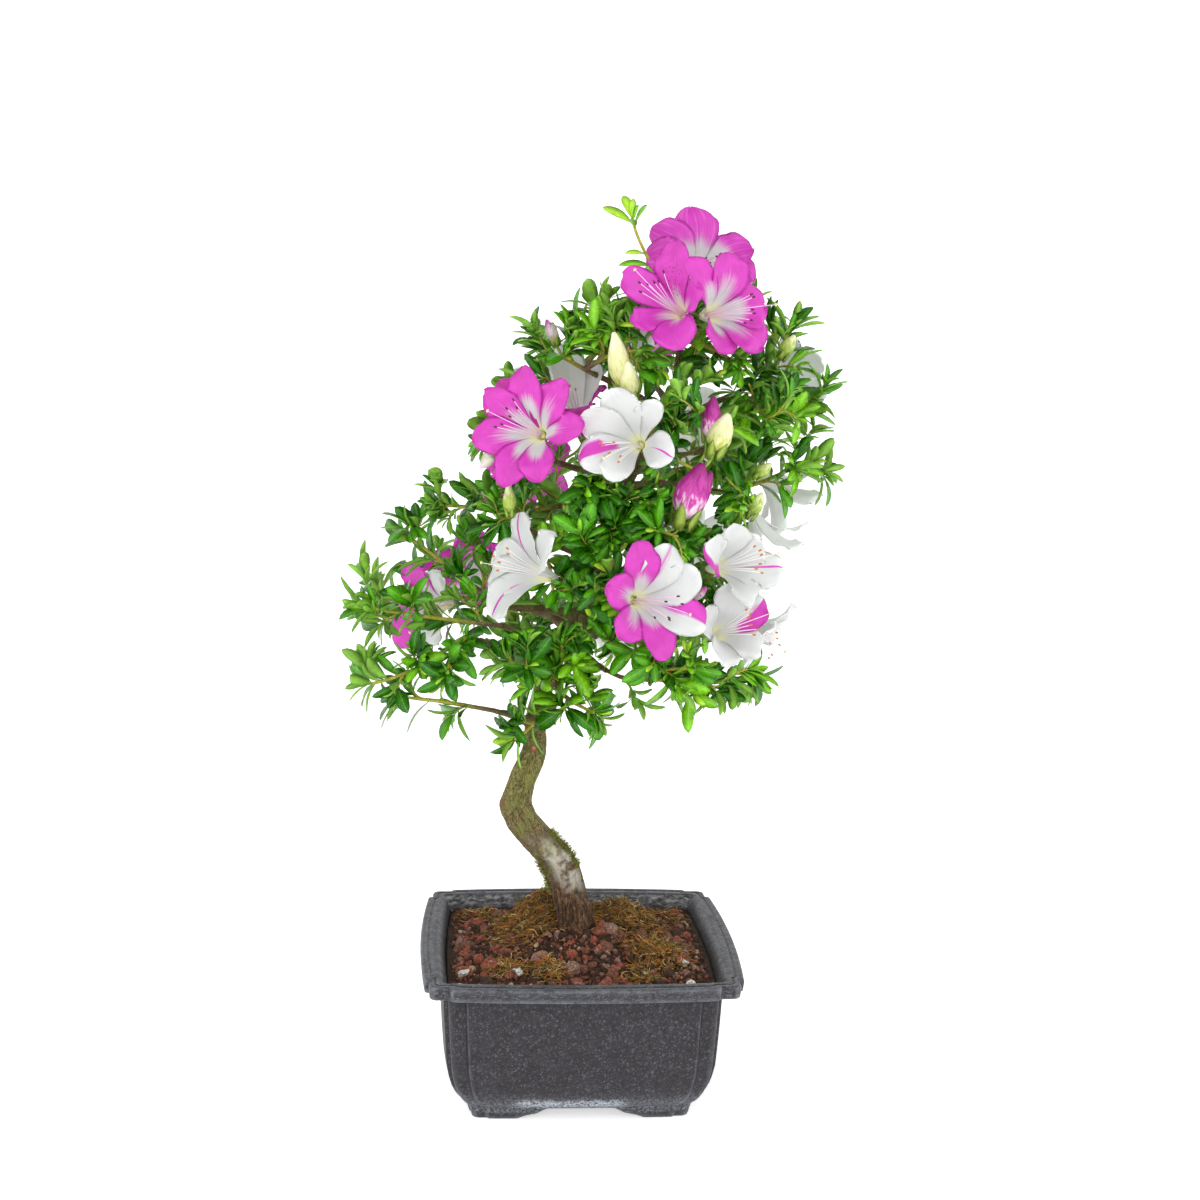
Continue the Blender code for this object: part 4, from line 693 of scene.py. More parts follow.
def distances(points, pieces):
    """Distance of each point from each straight piece, less that piece's radius."""
    a, b, radius = pieces
    line = b - a
    long = np.maximum((line * line).sum(1), 1e-9)
    t = np.clip((points @ line.T - (a * line).sum(1)) / long, 0, 1)
    square = (
        (points * points).sum(1)[:, None] + (a * a).sum(1) + t * t * long
        - 2 * points @ a.T - 2 * t * (points @ line.T) + 2 * t * (a * line).sum(1)
    )
    return np.sqrt(np.maximum(square, 0)) - radius


class Room:
    """The room that each mass has: a point belongs to the mass whose twigs, flowers or buds are
    nearest, and what grows keeps off the trunk, the boughs and the flowers' bells."""

    def __init__(self):
        fifths = np.linspace(0, 1, 5)
        held = [(mass, resample(path, fifths), 0) for mass in MASSES for path, *_ in twig_paths(mass)]
        held += [(mass, [flower_foot(at, way), at], width * 0.2) for mass, at, way, width, *_ in FLOWERS]
        held += [(mass, [foot, tip], radius) for mass, foot, tip, radius, _ in BUDS]
        thick = [np.column_stack([path, np.full(len(path), radius)]) for _, path, radius in held]
        self.parts = straight_pieces(thick)
        owners = [np.full(len(path) - 1, list(MASSES).index(mass)) for mass, path, _ in held]
        self.owners = join(owners)
        self.limbs = straight_pieces([trunk_path()[::2]] + [bough_path(name)[::2] for name in BOUGHS])

    def allows(self, masses, points):
        """For each row of points, True if all of them lie in their mass's room. Points are
        (rows, points, 3), and masses holds each row's mass as its place in the list."""
        flat = points.reshape(-1, 3)
        inside = ((flat > REACH_LOW) & (flat < REACH_HIGH)).all(1)
        away = distances(flat, self.parts)
        mine = self.owners[None] == np.repeat(masses, points.shape[1])[:, None]
        own = np.where(mine, away, np.inf).min(1)
        other = np.where(mine, np.inf, away).min(1)
        off_limbs = distances(flat, self.limbs).min(1) > LIMB_MARGIN
        good = inside & (own < other + OWN_MARGIN) & off_limbs & ~in_a_bell(flat) & ~before_a_bud(flat)
        return good.reshape(points.shape[:2]).all(1)


def in_a_bell(points):
    """True for each point in a flower's bell or just in front of it."""
    found = np.zeros(len(points), bool)
    for _, centre, facing, width, *_ in FLOWERS:
        axis = unit(facing)
        offset = points - flower_foot(centre, facing)
        high = offset @ axis
        out = norm(offset - high[:, None] * axis, axis=1)
        edge = BELL_MARGIN + np.clip(high, 0, FLOWER_DEPTH) / FLOWER_DEPTH * width * BELL_SPREAD
        found |= (high > BELL_FOOT) & (high < FLOWER_DEPTH + BELL_ABOVE) & (out < edge)
    return found


def before_a_bud(points):
    """True for each point between a bud on the front of the crown and the viewer."""
    found = np.zeros(len(points), bool)
    flat = points[:, ::2]
    for _, foot, tip, radius, _ in BUDS:
        if tip[1] > 0:
            continue
        low, high = np.array(foot)[::2], np.array(tip)[::2]
        way = high - low
        share = np.clip((flat - low) @ way / (way @ way), 0, 1)
        off = norm(flat - low - share[:, None] * way, axis=1)
        found |= (off < radius + BUD_CLEARANCE) & (points[:, 1] < foot[1] + 4)
    return found


def arcs(starts, bends, ends, count):
    """Curves from start to end drawn towards the bend: (1-t)^2, 2t(1-t) and t^2 of the three points."""
    t = np.linspace(0, 1, count)[:, None]
    starts, bends, ends = starts[..., None, :], bends[..., None, :], ends[..., None, :]
    return (1 - t) ** 2 * starts + 2 * t * (1 - t) * bends + t**2 * ends


def settled(propose, masses, room):
    """Proposes a line and what goes with it for each thing that has no place yet, until all fit or the
    tries are over. Returns what was settled, and which things it is for."""
    left, found, rows = np.arange(len(masses)), [], []
    for attempt in range(TRIES):
        line, values = propose(left, attempt)
        good = room.allows(masses[left], line)
        found.append(values[good])
        rows.append(left[good])
        left = left[~good]
        if not len(left):
            break
    rows = join(rows)
    order = np.argsort(rows)
    return join(found)[order], rows[order]


def sprout(starts, ways, reaches, turns, masses, room):
    """Shoots that leave at a slant. One that doesn't fit is turned on by part of the golden angle."""

    def propose(left, attempt):
        start, way = starts[left], ways[left]
        spoke = spokes(way, turns[left] + SHOOT_TURN * attempt * GOLDEN)
        far = reaches[left, None] * (1 - 0.03 * attempt)
        tips = start + spoke * far + way * far * SHOOT_LEAN + UP * far * SHOOT_LIFT
        long = norm(tips - start, axis=-1, keepdims=True)
        bends = start + way * long * SHOOT_BEND[0] + (tips - start) * SHOOT_BEND[1]
        paths = arcs(start, bends, tips, SHOOT_POINTS)
        return paths[:, 2:], paths

    paths, kept = settled(propose, masses, room)
    return paths, masses[kept]


def first_shoots(room, rng):
    """Shoots round each twig by the golden angle, evenly along it."""
    rows = []
    for index, mass in enumerate(MASSES):
        share = SHOOT_SHARE * (OPEN_SHARE if mass in OPEN_MASSES else 1)
        for path, reach, shoots in twig_paths(mass):
            count = max(1, round(shoots * share))
            at = SHOOT_START + (SHOOT_END - SHOOT_START) * (np.arange(count) + 0.5) / count
            rows.append((
                resample(path, at), headings(path, at), reach * rng.uniform(*SHOOT_SPREAD, count),
                rng.uniform(0, TURN) + np.arange(count) * GOLDEN, np.full(count, index),
            ))
    return sprout(*map(join, zip(*rows)), room)


def partway(paths, shares):
    """The places at these shares along each shoot's points, and the directions there."""
    k = np.broadcast_to(shares, len(paths)) * (SHOOT_POINTS - 1)
    low, rows = k.astype(int), np.arange(len(paths))
    step = paths[rows, low + 1] - paths[rows, low]
    return paths[rows, low] + step * (k - low)[:, None], unit(step)


def next_shoots(paths, masses, room, rng):
    """Finer shoots from the lower half of each shoot."""
    chosen = rng.random(len(paths)) < SPRIG_SHARE
    paths, masses = paths[chosen], masses[chosen]
    starts, ways = partway(paths, rng.uniform(0.35, 0.65, len(paths)))
    reach = norm(paths[:, -1] - paths[:, 0], axis=1) * rng.uniform(*SPRIG_REACH, len(paths))
    return sprout(starts, ways, reach, rng.uniform(0, TURN, len(paths)), masses, room)


# ---- leaves ----

LEAF_STATIONS = np.array([0, 0.09, 0.25, 0.42, 0.58, 0.76, 0.91, 1])
LEAF_WIDTHS = np.array([0.1, 0.2, 0.6, 0.9, 1, 0.9, 0.58, 0.08])
LEAF_LENGTH, YOUNG_LENGTH = (10.5, 21.5), (6, 12)
LEAF_WIDTH = (0.29, 0.44)
LEAF_FOLD = (0.08, 0.38)
LEAF_DROOP = (-0.05, 0.18)
LEAF_THICK = 0.35
ROSETTE, YOUNG, ALONG = 5, 2, 3
SPRAY_ANGLE, YOUNG_ANGLE, SIDE_ANGLE = math.radians(54), math.radians(24), math.radians(60)
TWIG_LEAF_STEP = 6.5
ROSETTE_STEP = 1.1
# The shades of leaf, and how common the first three are in sprays and along twigs.
SHADES = ("dark", "mid", "light", "young")
SPRAY_SHADES, TWIG_SHADES = (0.46, 0.38, 0.16), (0.5, 0.38, 0.12)
YOUNG_SHARE, TOP_YOUNG_SHARE = 0.35, 0.6


def leaf_midline(root, direction, face, length, droop):
    """Points of a leaf's midline: along its direction, rising a little and then drooping."""
    t = LEAF_STATIONS[None, :, None]
    lift = (0.25 * t - (0.25 + droop[:, None, None]) * t * t) * length[:, None, None]
    return root[:, None] + direction[:, None] * t * length[:, None, None] + face[:, None] * lift


def leaf_points(root, direction, face, length, width, fold, droop):
    """Points of leaves as blades: stations from root to tip, each with a left edge, a rib and a right
    edge. The half width follows the outline of a leaf that is widest past its middle, the halves fold
    up from the rib, and the underside's rib lies a leaf's thickness below."""
    middle = leaf_midline(root, direction, face, length, droop)
    half = LEAF_WIDTHS[None, :, None] * (width * length / 2)[:, None, None]
    out = np.cross(direction, face)[:, None] * (half * np.cos(fold)[:, None, None])
    up = face[:, None] * (half * np.sin(fold)[:, None, None])
    front = np.stack([middle - out + up, middle, middle + out + up], 2).reshape(len(root), -1, 3)
    return join([front, middle[:, 1:-1] - face[:, None] * LEAF_THICK], 1)


def leaf_uv():
    """Across the leaf and along it, from 0 to 1."""
    front = np.stack(np.meshgrid([0, 0.5, 1], LEAF_STATIONS), -1).reshape(-1, 2)
    under = np.column_stack([np.full(len(LEAF_STATIONS) - 2, 0.5), LEAF_STATIONS[1:-1]])
    return join([front, under])


def settle_leaves(sites, room, rng):
    """Turns each leaf round its shoot, a little shorter each time, until it fits, and drops the rest."""
    root, axis, mass = sites["root"], sites["axis"], sites["mass"].astype(int)
    count = len(root)
    width, fold, droop = (rng.uniform(*span, count) for span in (LEAF_WIDTH, LEAF_FOLD, LEAF_DROOP))
    roll = rng.normal(0, 0.25, (count, 3))
    facing = axis * AXIS_PULL + UP * SKY_PULL + unit(root - CROWN_MIDDLE) * OUTWARD_PULL + roll
    facing[:, 1] -= FRONT_PULL * (root[:, 2] > SLIM_ABOVE)

    def propose(left, attempt):
        spoke = spokes(axis[left], sites["turn"][left] + attempt * GOLDEN * 0.5)
        angle = sites["angle"][left, None]
        way = unit(axis[left] * np.cos(angle) + spoke * np.sin(angle) + UP * LEAF_LIFT)
        face = facing[left] - way * (facing[left] * way).sum(1, keepdims=True)
        face = unit(np.where(norm(face, axis=1, keepdims=True) < 0.1, across(way)[1], face))
        length = sites["length"][left] * (1 - 0.04 * attempt)
        line = leaf_midline(root[left], way, face, length, droop[left])
        return line[:, 2:], np.column_stack([way, face, length])

    found, kept = settled(propose, mass, room)
    way, face, length = found[:, :3], found[:, 3:6], found[:, 6]
    points = leaf_points(root[kept], way, face, length, width[kept], fold[kept], droop[kept])
    return points, sites["shade"][kept]


def add_sprays(sites, paths, masses, rng, scale=1):
    """A rosette at each shoot's tip with a few young leaves in its middle, and leaves along the shoot."""
    count = len(paths)
    shade = rng.choice(3, count, p=SPRAY_SHADES)
    phase = rng.uniform(0, TURN, count)
    size = rng.uniform(0.85, 1.1, count) * scale
    tip, axis = paths[:, -1], unit(paths[:, -1] - paths[:, -2])
    for i in range(ROSETTE):
        root = tip - axis * (0.4 + ROSETTE_STEP * i)
        angle = SPRAY_ANGLE * (0.72 + 0.48 * i / ROSETTE)
        length = rng.uniform(*LEAF_LENGTH, count) * size
        sites.append((root, axis, phase + i * GOLDEN, angle, length, masses, shade))
    for i in range(YOUNG):
        length = rng.uniform(*YOUNG_LENGTH, count) * size
        fresh = np.where(rng.random(count) < YOUNG_SHARE, 3, np.minimum(shade + 1, 2))
        sites.append((tip, axis, phase + 2 + i * GOLDEN, YOUNG_ANGLE, length, masses, fresh))
    long = norm(tip - paths[:, 0], axis=1)
    for i in range(ALONG):
        share = 0.3 + 0.2 * i
        rows = long * share > 3
        root, way = partway(paths[rows], share)
        length = rng.uniform(*LEAF_LENGTH, len(root)) * size[rows] * 0.9
        turn = phase[rows] + 4 + i * GOLDEN
        sites.append((root, way, turn, SIDE_ANGLE, length, masses[rows], shade[rows]))


def add_twig_leaves(sites, rng):
    """Leaves that stand along the outer part of each twig, and a rosette at its tip."""
    tips, masses = [], []
    for index, mass in enumerate(MASSES):
        for path, *_ in twig_paths(mass):
            count = int(length_of(path) * 0.8 / TWIG_LEAF_STEP)
            at = 0.2 + 0.78 * (np.arange(count) + 0.5) / count
            turn = rng.uniform(0, TURN) + np.arange(count) * GOLDEN
            shade = rng.choice(3, count, p=TWIG_SHADES)
            length = rng.uniform(*LEAF_LENGTH, count)
            sites.append((resample(path, at), headings(path, at), turn, SIDE_ANGLE, length, index, shade))
            tips.append(resample(path, np.linspace(0.8, 1, SHOOT_POINTS)))
            masses.append(index)
    add_sprays(sites, np.array(tips), np.array(masses), rng)


@functools.cache
def grown():
    """The whole growth: shoots, finer shoots and settled leaves. A leaf's site is where it leaves its
    shoot, the shoot's direction, its turn round it and angle from it, its length, mass and shade."""
    rng = np.random.default_rng(71)
    room = Room()
    shoots = first_shoots(room, rng)
    sprigs = next_shoots(*shoots, room, rng)
    sites = []
    add_twig_leaves(sites, rng)
    add_sprays(sites, *shoots, rng)
    add_sprays(sites, *sprigs, rng, 0.85)
    names = ("root", "axis", "turn", "angle", "length", "mass", "shade")
    sites = {
        key: join([np.broadcast_to(row[k], (len(row[0]), 3)[: 1 + (k < 2)]) for row in sites])
        for k, key in enumerate(names)
    }
    high = sites["root"][:, 2] > SLIM_ABOVE
    sites["length"] = np.where(high, sites["length"] * 0.95, sites["length"])
    sites["shade"] = np.where(high, 2 + (rng.random(len(high)) < TOP_YOUNG_SHARE), sites["shade"])
    kept = ~high | (rng.random(len(high)) < SLIM_SHARE)
    return shoots, sprigs, *settle_leaves({key: row[kept] for key, row in sites.items()}, room, rng)


# ---- stones and moss ----


@functools.cache
def cube_ball(count):
    """A cube's faces, each cut into count by count, with its points brought to distance 1."""
    t = np.tan(np.linspace(-1, 1, count + 1) * math.pi / 4)
    u, v = np.meshgrid(t, t)
    face = np.stack([u, v, np.ones_like(u)], -1).reshape(-1, 3)
    points = join([np.roll(face * (s, 1, s), shift, axis=1) for s in (1, -1) for shift in (0, 1, 2)])
    quads = join([grid_faces(count + 1, count + 1) + k * (count + 1) ** 2 for k in range(6)])
    _, first, index = np.unique(np.round(points, 6), axis=0, return_index=True, return_inverse=True)
    return unit(points[first]), index.reshape(-1)[quads]


STONE_CUTS = 9
STONE_DEPTHS = (0.55, 0.95)


def stones(rng, spots, radius, count, roughness):
    """Broken stones: balls that are flattened, cut off by planes, roughened by noise and turned at
    random, sunk a third into the soil. A plane cuts a direction d off at depth / (normal . d)."""
    ball, faces = cube_ball(count)
    many = len(spots)
    turn = np.linalg.qr(rng.normal(size=(many, 3, 3)))[0]
    turn *= np.sign(np.linalg.det(turn))[:, None, None]
    squash = rng.uniform(0.7, 1.15, (many, 1, 3))
    normals = unit(rng.normal(size=(many, STONE_CUTS, 3)))
    depths = rng.uniform(*STONE_DEPTHS, (many, 1, STONE_CUTS))
    cut = (depths / np.maximum(np.einsum("vk,nck->nvc", ball, normals), 0.05)).min(-1)
    grit = noise(ball[None] * 1.1 + rng.uniform(0, 30, (many, 1, 3)), 11, 2)
    bumps = np.minimum(cut, 1.1) + roughness * grit
    shape = ball[None] * bumps[..., None] * squash * radius[:, None, None]
    shape = np.einsum("nij,nkj->nki", turn, shape)
    high = soil_height(spots[:, 0], spots[:, 1]) + 0.3 + radius * 0.1
    return shape + np.column_stack([spots, high])[:, None], faces


def scattered(rng, step, most):
    """Spots on a loose square grid inside the pot's wall, clear of the trunk."""
    line = np.arange(-most, most + 1e-6, step)
    spots = np.stack(np.meshgrid(line, line), -1).reshape(-1, 2)
    spots = spots + rng.uniform(-0.5, 0.5, spots.shape) * step
    return spots[(np.abs(spots) < most).all(1) & (np.hypot(spots[:, 0] + 1, spots[:, 1]) > 11.5)]


# Dry moss: x, y, reach, depth of cover, the share of its strands that are golden, and how high its
# clump stands.
MOSS_PATCHES = (
    (-18, 18, 24, 1, 0.3, 9), (-30, -4, 14, 0.9, 0.35, 6), (27, 12, 19, 1, 0.3, 7),
    (40, -26, 14, 0.95, 0.6, 5), (30, -50, 11, 0.5, 0.6, 1.5), (-38, -38, 9, 0.6, 0.9, 2),
    (-16, -46, 9, 0.8, 0.95, 4), (2, 44, 20, 0.6, 0.4, 3), (-50, 48, 12, 0.5, 0.5, 2),
    (50, 50, 12, 0.4, 0.5, 2),
)
MOSS_STEPS = 5
MOSS_LENGTH = (3.5, 9.5)
MOSS_EDGE = 67


def moss_cover(spots):
    """How deep the dry moss lies at each spot, from 0 to 1."""
    x, y = spots.T
    return np.max([deep * bell(x, y, row, reach, 1.5) for *row, reach, deep, _, _ in MOSS_PATCHES], 0)


def clump_height(spots):
    """How high the moss clumps stand at each spot: a bell curve of each patch's height."""
    x, y = spots.T
    return sum(high * bell(x, y, row, 0.7 * reach) for *row, reach, _, _, high in MOSS_PATCHES)


def moss_strands(rng, spots):
    """Curled strands that lie loosely over one another. Each follows an arc over the ground, rises in
    its middle and ends a little above the soil, and in a clump some lie higher."""
    count = len(spots)
    t = np.linspace(0, 1, MOSS_STEPS)
    step = rng.uniform(*MOSS_LENGTH, count)[:, None] / (MOSS_STEPS - 1)
    heading = rng.uniform(0, TURN, count)[:, None] + rng.normal(0, 2.4, count)[:, None] * t
    way = np.stack([np.cos(heading), np.sin(heading)]) * step
    x, y = np.clip(spots.T[..., None] + np.cumsum(way, 2) - way, -MOSS_EDGE, MOSS_EDGE)
    deep = moss_cover(spots)[:, None]

    def some(low, high):
        return rng.uniform(low, high, (count, 1))

    lift = some(0.1, 4.2) * deep + some(0, 1.9) * np.sin(math.pi * t)
    lift = lift + some(-1, 5) * deep * t**2 + clump_height(spots)[:, None] * some(0, 1) ** 0.6
    return np.stack([x, y, soil_height(x, y) + lift], -1)


# ---- trunk, boughs and twigs ----


def ring_ways(path):
    """Two directions square to a path at each of its points, carried along it without twisting."""
    tangents = unit(np.gradient(path[:, :3], axis=0))
    sides = [np.array([1, 0, 0])]
    for t in tangents:
        sides.append(unit(sides[-1] - t * (sides[-1] @ t)))
    return np.array(sides[1:]), np.cross(tangents, sides[1:])


def bark(path, radii, cols, grain, depth, seed):
    """Rings of a limb with bark, and how deep each point lies in a crack. Cracks run where a stretched
    noise crosses zero, and a coarser noise lifts the plates between them."""
    turns = round_turns(cols)
    flat = np.empty((len(path), cols, 3))
    flat[..., :2] = np.column_stack([np.cos(turns), np.sin(turns)]) * radii[..., None] / grain
    flat[..., 2] = distances_along(path)[:, None] / (grain * 3.2)
    warp = noise(flat * 0.6 + 5, seed + 4)
    crack = np.exp(-((noise(flat + warp[..., None] * 0.6, seed, 2) / 0.13) ** 2))
    plates = noise(flat * 0.45, seed + 8)
    fine = noise(flat * 3.1, seed + 12, 2)
    out = radii + depth * (0.9 * plates + 0.25 * fine - 1.15 * crack)
    sides, others = ring_ways(path)
    return path[:, None, :3] + out[..., None] * wheel(turns, sides[:, None], others[:, None]), crack


TRUNK_COLS, TRUNK_STEP = 112, 0.75
BOUGH_COLS, BOUGH_STEP, BOUGH_LEAST = 20, 0.9, 12
COLLAR_REACH, COLLAR_SWELL = 3.5, 0.55
BURIED = 3.6


def evenly(path, step, least=1):
    """The path with its points about a step apart."""
    return resample(path, np.linspace(0, 1, max(least, round(length_of(path[:, :3]) / step))))


def trunk_rings(relief):
    """The trunk: root lobes at the foot, bark roughest low down, and a knob on the outer bend."""
    path = trunk_path()
    path = evenly(np.vstack([path[0] - (0, 0, BURIED, 0), path]), TRUNK_STEP)
    turns, z = round_turns(TRUNK_COLS), path[:, 2:3]
    foot = np.exp(-(np.maximum(z - TRUNK[0][2], 0) / ROOT_FLARE))
    lobes = 1 + foot * (ROOT_LOBE_DEPTH * np.cos(ROOT_LOBES * turns) + 0.05 * np.cos(9 * turns + 1))
    round_it = np.stack(np.broadcast_arrays(2.2 * np.cos(turns), 2.2 * np.sin(turns), z * 0.12), -1)
    lobes = lobes + 0.16 * foot * noise(round_it, 61, 3)
    swell = 1 + 0.045 * np.sin(z * 0.21 + 2 * np.cos(turns)) * ease(z, 88, 100)
    depth = relief * (1 - 0.6 * ease(z, 150, 260))
    rings, crack = bark(path, path[:, 3:4] * lobes * swell, TRUNK_COLS, 2.3, depth, 21)
    near = np.exp(-((norm(rings - np.array(KNOB[:3]), axis=-1) / KNOB[3]) ** 2))
    return rings + unit(KNOB_WAY) * (KNOB[4] * near)[..., None], crack


def bough_rings(name, relief):
    """A bough: it swells to a collar where it leaves the trunk."""
    path, trunk = evenly(bough_path(name), BOUGH_STEP, BOUGH_LEAST), trunk_path()
    start = trunk[np.argmin(norm(trunk[:, :3] - path[0, :3], axis=1)), 3]
    along = np.linspace(0, length_of(path[:, :3]), len(path))
    collar = 1 + COLLAR_SWELL * np.exp(-np.maximum(along - start, 0) / COLLAR_REACH)
    radii = (path[:, 3] * collar)[:, None] * np.ones(BOUGH_COLS)
    return bark(path, radii, BOUGH_COLS, 1.7, relief, 31)


# Green moss on the trunk: lowest and highest, first and last turn round it, and number of tufts.
TRUNK_MOSS = ((114, 132, -0.11, 0.02, 330), (106, 124, 0.47, 0.58, 240), (118, 130, 0.56, 0.7, 70))
TUFT_RADII = np.array([0.16, 0.15, 0.05])


def trunk_tufts(rng, rings):
    """Short curved tufts that stand out from the bark."""
    found = []
    heights = rings[..., 2].mean(1)
    for low, high, first, last, count in TRUNK_MOSS:
        rows = rng.choice(np.flatnonzero((heights > low) & (heights < high)), count)
        cols = np.floor(rng.uniform(first, last, count) % 1 * rings.shape[1]).astype(int)
        root = rings[rows, cols]
        way = unit(unit(root - rings[rows].mean(1)) + UP * 0.35 + rng.normal(0, 0.45, (count, 3)))
        long = rng.uniform(0.9, 3.4, (count, 1))
        middle = root + way * long * 0.5 + rng.normal(0, 0.25, (count, 3))
        found.append(np.stack([root - way * 0.4, middle, root + way * long], 1))
    return join(found)


def unroll(rows, cols):
    """Places on a rolled-up surface, round it and along it, in the order of a loft's points."""
    grid = np.stack(np.meshgrid(np.arange(cols) / cols, np.linspace(0, 1, rows)), -1).reshape(-1, 2)
    return join([grid, [[0, 0], [0, 1]]])


TWIG_STATIONS, TWIG_SIDES = 26, 8
SHOOT_SIDES = 6


def rods(pile, paths, first, last, sides, old, seed):
    """Adds thin round stems that taper and swell a little here and there along them. The age is how old
    a stem is at each point: 1 for brown bark and 0 for green."""
    knots = 1 + 0.1 * noise(paths * 0.35, seed)
    t = np.linspace(0, 1, paths.shape[1])
    points, faces = tubes(paths, (first + (last - first) * t) * knots, sides)
    pile.add(points, faces, age=join([np.repeat(old, sides), old[[0, -1]]]))


# ---- blossom ----

PETAL_STATIONS = np.array(
    [0, 0.08, 0.16, 0.24, 0.32, 0.4, 0.48, 0.55, 0.62, 0.69, 0.75, 0.81, 0.86, 0.9, 0.94, 0.97, 0.99, 1]
)
PETAL_ACROSS = np.linspace(-1, 1, 11)
# Along a petal: share of its length, distance from the flower's axis and height as shares of the
# flower's half width and depth, and the petal's half width as a share of the flower's half width.
PETAL_PROFILE = np.array([
    (0, 0.065, 0, 0.05), (0.15, 0.13, 0.3, 0.1), (0.3, 0.245, 0.57, 0.19), (0.45, 0.4, 0.77, 0.315),
    (0.55, 0.52, 0.86, 0.39), (0.65, 0.64, 0.92, 0.435), (0.75, 0.755, 0.955, 0.44),
    (0.85, 0.86, 0.97, 0.39), (0.92, 0.93, 0.97, 0.3), (0.97, 0.976, 0.965, 0.19), (1, 1, 0.955, 0.03),
]).T
PETAL_THICK = 0.28
PETAL_OVERLAP = 0.8
PETAL_RUFFLE = 1.1


def petal_ways(petals):
    """The letters, turns, lengths, rises and breadths of a flower's petals."""
    if "," in petals:
        rows = [(row[0], *map(float, row[2:].split(","))) for row in petals.split()]
    else:
        rows = [(letter, 90 + k * 360 / len(petals), 1) for k, letter in enumerate(petals)]
    letters, turns, *rest = zip(*[row + (0, 1)[len(row) - 3 :] for row in rows])
    return letters, np.radians(turns), *np.array(rest, float)


def petal_points(rng, foot, axis, width, turns, lengths, rises, breadths, point):
    """Points of one flower's petals as blades. Each petal follows the flower's profile from the foot of
    its funnel to the flared rim, bends round the flower's axis, laps over the next and is ruffled. The
    last number draws its end in to a point."""
    s, w = (grid[None] for grid in np.meshgrid(PETAL_STATIONS, PETAL_ACROSS, indexing="ij"))
    turns, lengths, rises, breadths = (row[:, None, None] for row in (turns, lengths, rises, breadths))
    each = turns.shape
    half = width / 2
    out, high, broad = (np.interp(s, PETAL_PROFILE[0], row) for row in PETAL_PROFILE[1:])
    out = out * half * (1 + (lengths * rng.uniform(0.97, 1.03, each) - 1) * ease(s, 0.3, 1))
    high = high * FLOWER_DEPTH + rises * s**2
    broad = broad * half * rng.uniform(0.96, 1.08, each) * (5 / len(turns)) ** 0.55
    broad = broad * (1 + (breadths - 1) * ease(s, 0.1, 0.5)) * (1 - point * ease(s, 0.55, 0.95))
    high = high - rng.uniform(-0.5, 1.6, each) * 6 * np.clip(s - 0.55, 0, 1) ** 2 * half / 27
    high = high + rng.uniform(-1, 1.8, each) * w**2 * ease(s, 0.35, 0.8) * (1 - 0.5 * s)
    phase = rng.uniform(0, TURN, (2, *each))
    waves = np.sin(s * 15 + 2.2 * w + phase[0]) + 0.6 * np.sin(s * 27 - 3 * w + phase[1])
    high = high + PETAL_RUFFLE * waves * np.abs(w) ** 1.6 * ease(s, 0.35, 0.75)
    high = high + 0.5 * np.sin(5 * w + phase[1]) * ease(s, 0.6, 1)
    rib = np.exp(-((w / 0.12) ** 2)) * ease(s, 0.1, 0.3) * (1 - ease(s, 0.85, 1))
    high = high - 0.35 * rib + PETAL_OVERLAP * w * ease(s, 0.05, 0.35)
    turns = turns + rng.normal(0, 0.03, each) + w * broad / np.maximum(out, 0.5)
    turns = turns + rng.normal(0, 0.07, each) * ease(s, 0.4, 1)
    front = foot + high[..., None] * axis + out[..., None] * spokes(axis, turns)
    normal = unit(np.cross(np.gradient(front, axis=2), np.gradient(front, axis=1)))
    back = (front - normal * PETAL_THICK)[:, 1:-1, 1:-1]
    return join([grid.reshape(len(turns), -1, 3) for grid in (front, back)], 1)


def on_blade(values):
    """Values of the front grid, and after them those of the back's inner points."""
    return join([values.reshape(-1), values[1:-1, 1:-1].reshape(-1)])


def band(value, middle, half, soft):
    """1 within half of the middle, and 0 further off than that and the soft edge."""
    return 1 - ease(np.abs(value - middle), half, half + soft)


# How deep a petal's magenta is and how flecked its throat is, by the letter of its kind.
PETAL_DEEP = {"d": 1, "R": 0.5, "h": 0.3, "L": 0.55, "p": 0.4, "m": 0.35, "f": 0.4, "s": 0.35}
PETAL_FLECK = {"f": 0.6, "m": 0.08}


